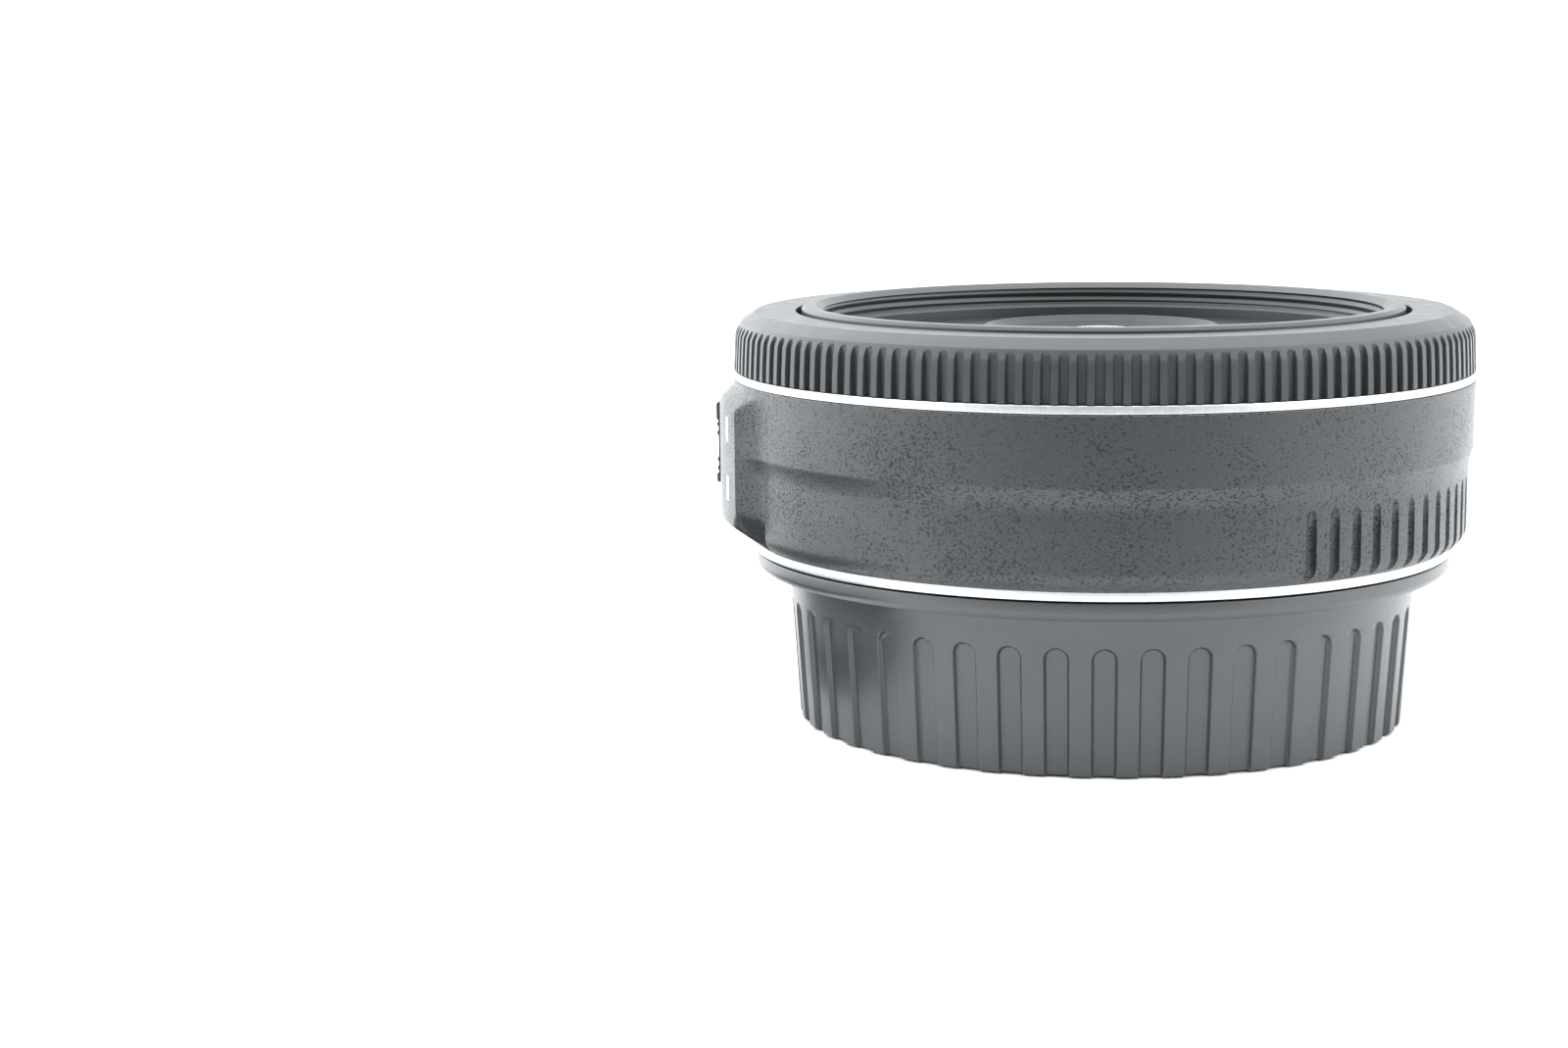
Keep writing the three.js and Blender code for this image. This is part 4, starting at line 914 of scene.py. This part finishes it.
def iris_housing():
    can = spun("iris_housing_fine", [
        (5.6, 25.6), (13.6, 25.6, 0.2), (13.6, 28.0, 0.1), (12.95, 28.0), (12.95, 26.15), (5.6, 26.15)])
    holes = [pin("pivot_hole", 0.5, BLADE_PIN_CIRCLE_R, k * 360 / BLADES, 25, 27) for k in range(BLADES)]
    return stand_in(combine(can, holes), "iris_housing")


def iris_blade(k):
    """Thin curved blade with its pivot pin below and its drive pin above.

    Three arcs bound it, each given as radius, first bearing and last bearing.
    """
    low = BLADE_LOW_Z + k * BLADE_LEVEL
    arcs = ((11.7, -4, 20), (9.3, 24, 112), (5.4, 106, 4))
    outline = []
    for radius, start, end in arcs:
        bearings = np.linspace(start, end, max(4, int(abs(end - start) / 3)))
        outline += list(polar(radius, bearings, 0)[:, :2] / MM)
    blade = slab(f"iris_blade_{k + 1}_fine", outline, upright(z=low + BLADE_THICKNESS / 2), BLADE_THICKNESS)
    pivot = pin("pivot", 0.35, BLADE_PIN_CIRCLE_R, 0, 25.7, low + 0.05, 24)
    drive = pin("drive", 0.35, BLADE_PIN_CIRCLE_R, BLADE_DRIVE_ANGLE, low + 0.05, 28.65, 24)
    combine(blade, [pivot], "UNION")
    combine(blade, [drive], "UNION")
    blade.data.transform(Matrix.Rotation(math.radians(k * 360 / BLADES), 4, "Z"))
    return stand_in(blade, f"iris_blade_{k + 1}")


def face_arc(apex, sag, radius, count=24):
    """Spherical face from the axis to the rim; sag is positive where the rim lies below the apex."""
    r = np.linspace(0, radius, count + 1)
    if sag == 0:
        return list(zip(r, np.full_like(r, apex)))
    curve = (radius ** 2 + sag ** 2) / (2 * sag)
    drop = abs(curve) - np.sqrt(curve ** 2 - r ** 2)
    return list(zip(r, apex - math.copysign(1, sag) * drop))


def element(node, radius, front, back):
    """Lens element; front and back are (apex, sag) or (apex, sag, clear radius inside a flat border)."""
    back_arc = face_arc(back[0], back[1], back[2] if len(back) > 2 else radius)
    front_arc = face_arc(front[0], front[1], radius)[::-1]
    border = [(radius, back_arc[-1][1])] if len(back) > 2 else []
    return stand_in(lens_solid(node + "_fine", [*back_arc, *border, *front_arc]), node)


def elements():
    element("front_element", 8.8, (36.35, 1.5), (35.15, 3.1, 7.1))
    element("second_element", 6.9, (32.5, 1.2), (30.05, -0.4))
    element("third_element", 6.25, (24.9, 1.25), (21.05, -1.9))
    element("fourth_element", 6.25, (20.95, -1.9), (20.5, 0))
    element("fifth_element", 7.75, (19.2, -1.0), (17.7, -0.9))
    element("rear_element", 9.2, (17.2, 0.7), (14.3, -0.8))


# ---- Switch ----
def mode_switch():
    """Slider with a pair of ridges each side of its middle, two end ridges, and a foot through the barrel."""
    base, valley, crest, end_crest = 34.5, KNOB_R - 0.2, KNOB_R - 0.08, KNOB_R - 0.02
    pitch = (KNOB_TOP_Z - KNOB_LOW_Z - 1.8) / 7
    outline = [(base, KNOB_LOW_Z, 0.1), (end_crest, KNOB_LOW_Z, 0.25), (end_crest, KNOB_LOW_Z + 0.85, 0.2)]
    for k in (0, 1, 4, 5):
        low = KNOB_LOW_Z + 0.9 + k * pitch
        outline += [
            (valley, low + 0.08 * pitch, 0.1), (valley, low + 0.30 * pitch, 0.1),
            (crest, low + 0.42 * pitch, 0.12), (crest, low + 0.72 * pitch, 0.12),
            (valley, low + 0.90 * pitch, 0.1)]
    outline += [
        (valley, KNOB_TOP_Z - 1.8, 0.1), (end_crest, KNOB_TOP_Z - 1.6, 0.2),
        (end_crest, KNOB_TOP_Z, 0.3), (base, KNOB_TOP_Z, 0.1)]
    knob = slab("focus_mode_switch_fine", rounded(outline), radial_frame(SWITCH_BEARING), KNOB_WIDTH, 0.10)
    foot_outline = [
        (31.6, KNOB_FOOT_LOW_Z), (34.7, KNOB_FOOT_LOW_Z), (34.7, KNOB_FOOT_TOP_Z), (31.6, KNOB_FOOT_TOP_Z)]
    foot = slab("foot", foot_outline, radial_frame(SWITCH_BEARING), KNOB_FOOT_WIDTH)
    combine(knob, [foot], "UNION")
    knob.data.shade_flat()
    return stand_in(knob, "focus_mode_switch")


def switch_marks():
    """Two plain painted bars beside the slider, one for each of its positions."""
    middle = (KNOB_LOW_Z + KNOB_TOP_Z) / 2
    for number, low in enumerate((middle - 4.2, middle + 1.2)):
        bar = arc_block(f"switch_mark_{number + 1}", PAD_R - 0.05, PAD_R + 0.02, low, low + MARK_LENGTH,
                        MARK_BEARING - MARK_HALF, MARK_BEARING + MARK_HALF)
        bar.data.materials.append(MATERIALS["white_paint"])
        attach(bar, frame["nodes"]["barrel_shell"]["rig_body"])


# ---- Studio ----
def camera():
    """The view: close in front, a little above and turned left so that the lens sits right of the middle."""
    yaw, pitch, roll = (math.radians(turn) for turn in CAMERA_TURNS)
    ahead = Vector((math.sin(yaw) * math.cos(pitch), math.cos(yaw) * math.cos(pitch), -math.sin(pitch)))
    level = Vector((math.cos(yaw), -math.sin(yaw), 0))
    over = level.cross(ahead)
    right = level * math.cos(roll) + over * math.sin(roll)
    up = over * math.cos(roll) - level * math.sin(roll)
    data = bpy.data.cameras.new("camera")
    data.sensor_width = 36
    data.lens = CAMERA_LENS
    data.clip_start = 0.005
    obj = bpy.data.objects.new("camera", data)
    bpy.context.scene.collection.objects.link(obj)
    turn = Matrix((right, up, -ahead)).transposed().to_4x4()
    obj.matrix_world = Matrix.Translation(CAMERA_PLACE_M) @ turn
    bpy.context.scene.camera = obj


def flat_square(name, z):
    """Square of floor round the origin, at height z in metres."""
    corners = [(x * FLOOR_REACH, y * FLOOR_REACH, z) for x, y in ((-1, -1), (1, -1), (1, 1), (-1, 1))]
    mesh = bpy.data.meshes.new(name)
    mesh.from_pydata(corners, [], [(0, 1, 2, 3)])
    obj = bpy.data.objects.new(name, mesh)
    bpy.context.scene.collection.objects.link(obj)
    return obj


def show_in_reflections_only(obj):
    """The lens mirrors this studio card, but it isn't seen itself and throws no shadow."""
    obj.visible_camera = False
    obj.visible_diffuse = False
    obj.visible_shadow = False


def painted_floor_shade():
    """Painted shade on the floor that the lens mirrors: a dark sheet seen only in reflections, clear round
    the lens and behind it, dark in front.
    """
    m = Recipe("painted_floor_shade", (0.14, 0.14, 0.14), 0.6)
    split = m.nodes.new("ShaderNodeSeparateXYZ")
    m.link(m.place, split, 0)
    corner_x, corner_y = CLEAR_CORNER
    right = m.math("MAXIMUM", m.math("SUBTRACT", split.outputs["X"], corner_x), 0.0)
    across = m.math("MULTIPLY", right, SIDEWAYS_SHARE)
    along = m.math("MINIMUM", m.math("SUBTRACT", split.outputs["Y"], corner_y), 0.0)
    reach = m.math("SQRT", m.math("ADD", m.math("POWER", across, 2), m.math("POWER", along, 2)))
    outside = m.span(reach, CLEAR_REACH, DARK_REACH, 0, 0.92)
    in_front = m.span(split.outputs["Y"], 0.02, 0.15, 1, 0)
    m.link(m.math("MULTIPLY", outside, in_front), m.shader, "Alpha")
    surround = flat_square("painted_floor_shade", 0.0003)
    surround.data.materials.append(m.material)
    show_in_reflections_only(surround)


def dark_card():
    """Painted reflection: a low dark disc at the left of the lens, seen only in reflections, that darkens the
    lens's left side.
    """
    card = spun("dark_card", [(0.5, 0.5), (29.0, 0.5, 0.5), (29.0, 5.5, 1.0), (0.5, 5.5)], 64)
    card.data.materials.append(Recipe("dark_card", (0.02, 0.02, 0.02), 0.5).material)
    card.location = DARK_CARD_PLACE
    show_in_reflections_only(card)


def studio():
    """White sweep in bright soft light from all round.

    The dark disc and the floor's painted shade show only in reflections: they are painted reflections that
    darken the barrel, its step and its pad.
    """
    floor = flat_square("floor", 0.0)
    paper = Recipe("white_sweep", (0.93, 0.93, 0.93), 0.6)
    floor.data.materials.append(paper.material)
    painted_floor_shade()
    dark_card()

    world = bpy.data.worlds.new("studio")
    world.use_nodes = True
    bpy.context.scene.world = world
    nodes, links = world.node_tree.nodes, world.node_tree.links
    background = nodes["Background"]
    direction = nodes.new("ShaderNodeTexCoord").outputs["Generated"]
    strength = None
    for towards, reach, dimming in SKY_DIMMING:
        lobe = nodes.new("ShaderNodeVectorMath")
        lobe.operation = "DOT_PRODUCT"
        links.new(direction, lobe.inputs[0])
        lobe.inputs[1].default_value = Vector(towards).normalized()
        dimmer = nodes.new("ShaderNodeMapRange")
        dimmer.interpolation_type = "SMOOTHSTEP"
        links.new(lobe.outputs["Value"], dimmer.inputs["Value"])
        for socket, number in zip(("From Min", "From Max", "To Min", "To Max"), (reach, 0.95, 0, dimming)):
            dimmer.inputs[socket].default_value = number
        rest = nodes.new("ShaderNodeMath")
        rest.operation = "SUBTRACT"
        rest.inputs[0].default_value = SKY_STRENGTH
        if strength:
            links.new(strength, rest.inputs[0])
        links.new(dimmer.outputs["Result"], rest.inputs[1])
        strength = rest.outputs[0]
    links.new(strength, background.inputs["Strength"])
    background.inputs["Color"].default_value = (0.94, 0.98, 1.0, 1)
    bpy.context.scene.view_settings.view_transform = "Standard"


# ---- Build ----
camera()
studio()
for node, obj in frame["nodes"].items():
    obj.data.materials.clear()
    obj.data.materials.append(MATERIALS[SLOT_OF[node]])
    obj.data.set_sharp_from_angle(angle=math.radians(25))
barrel_shell()
focus_ring()
front_trim_ring()
mount_plate()
rear_cap()
front_barrel()
name_ring()
front_bezel()
front_cell()
rear_cell()
rear_retainer()
iris_cover()
iris_housing()
for blade in range(BLADES):
    iris_blade(blade)
elements()
mode_switch()
switch_marks()
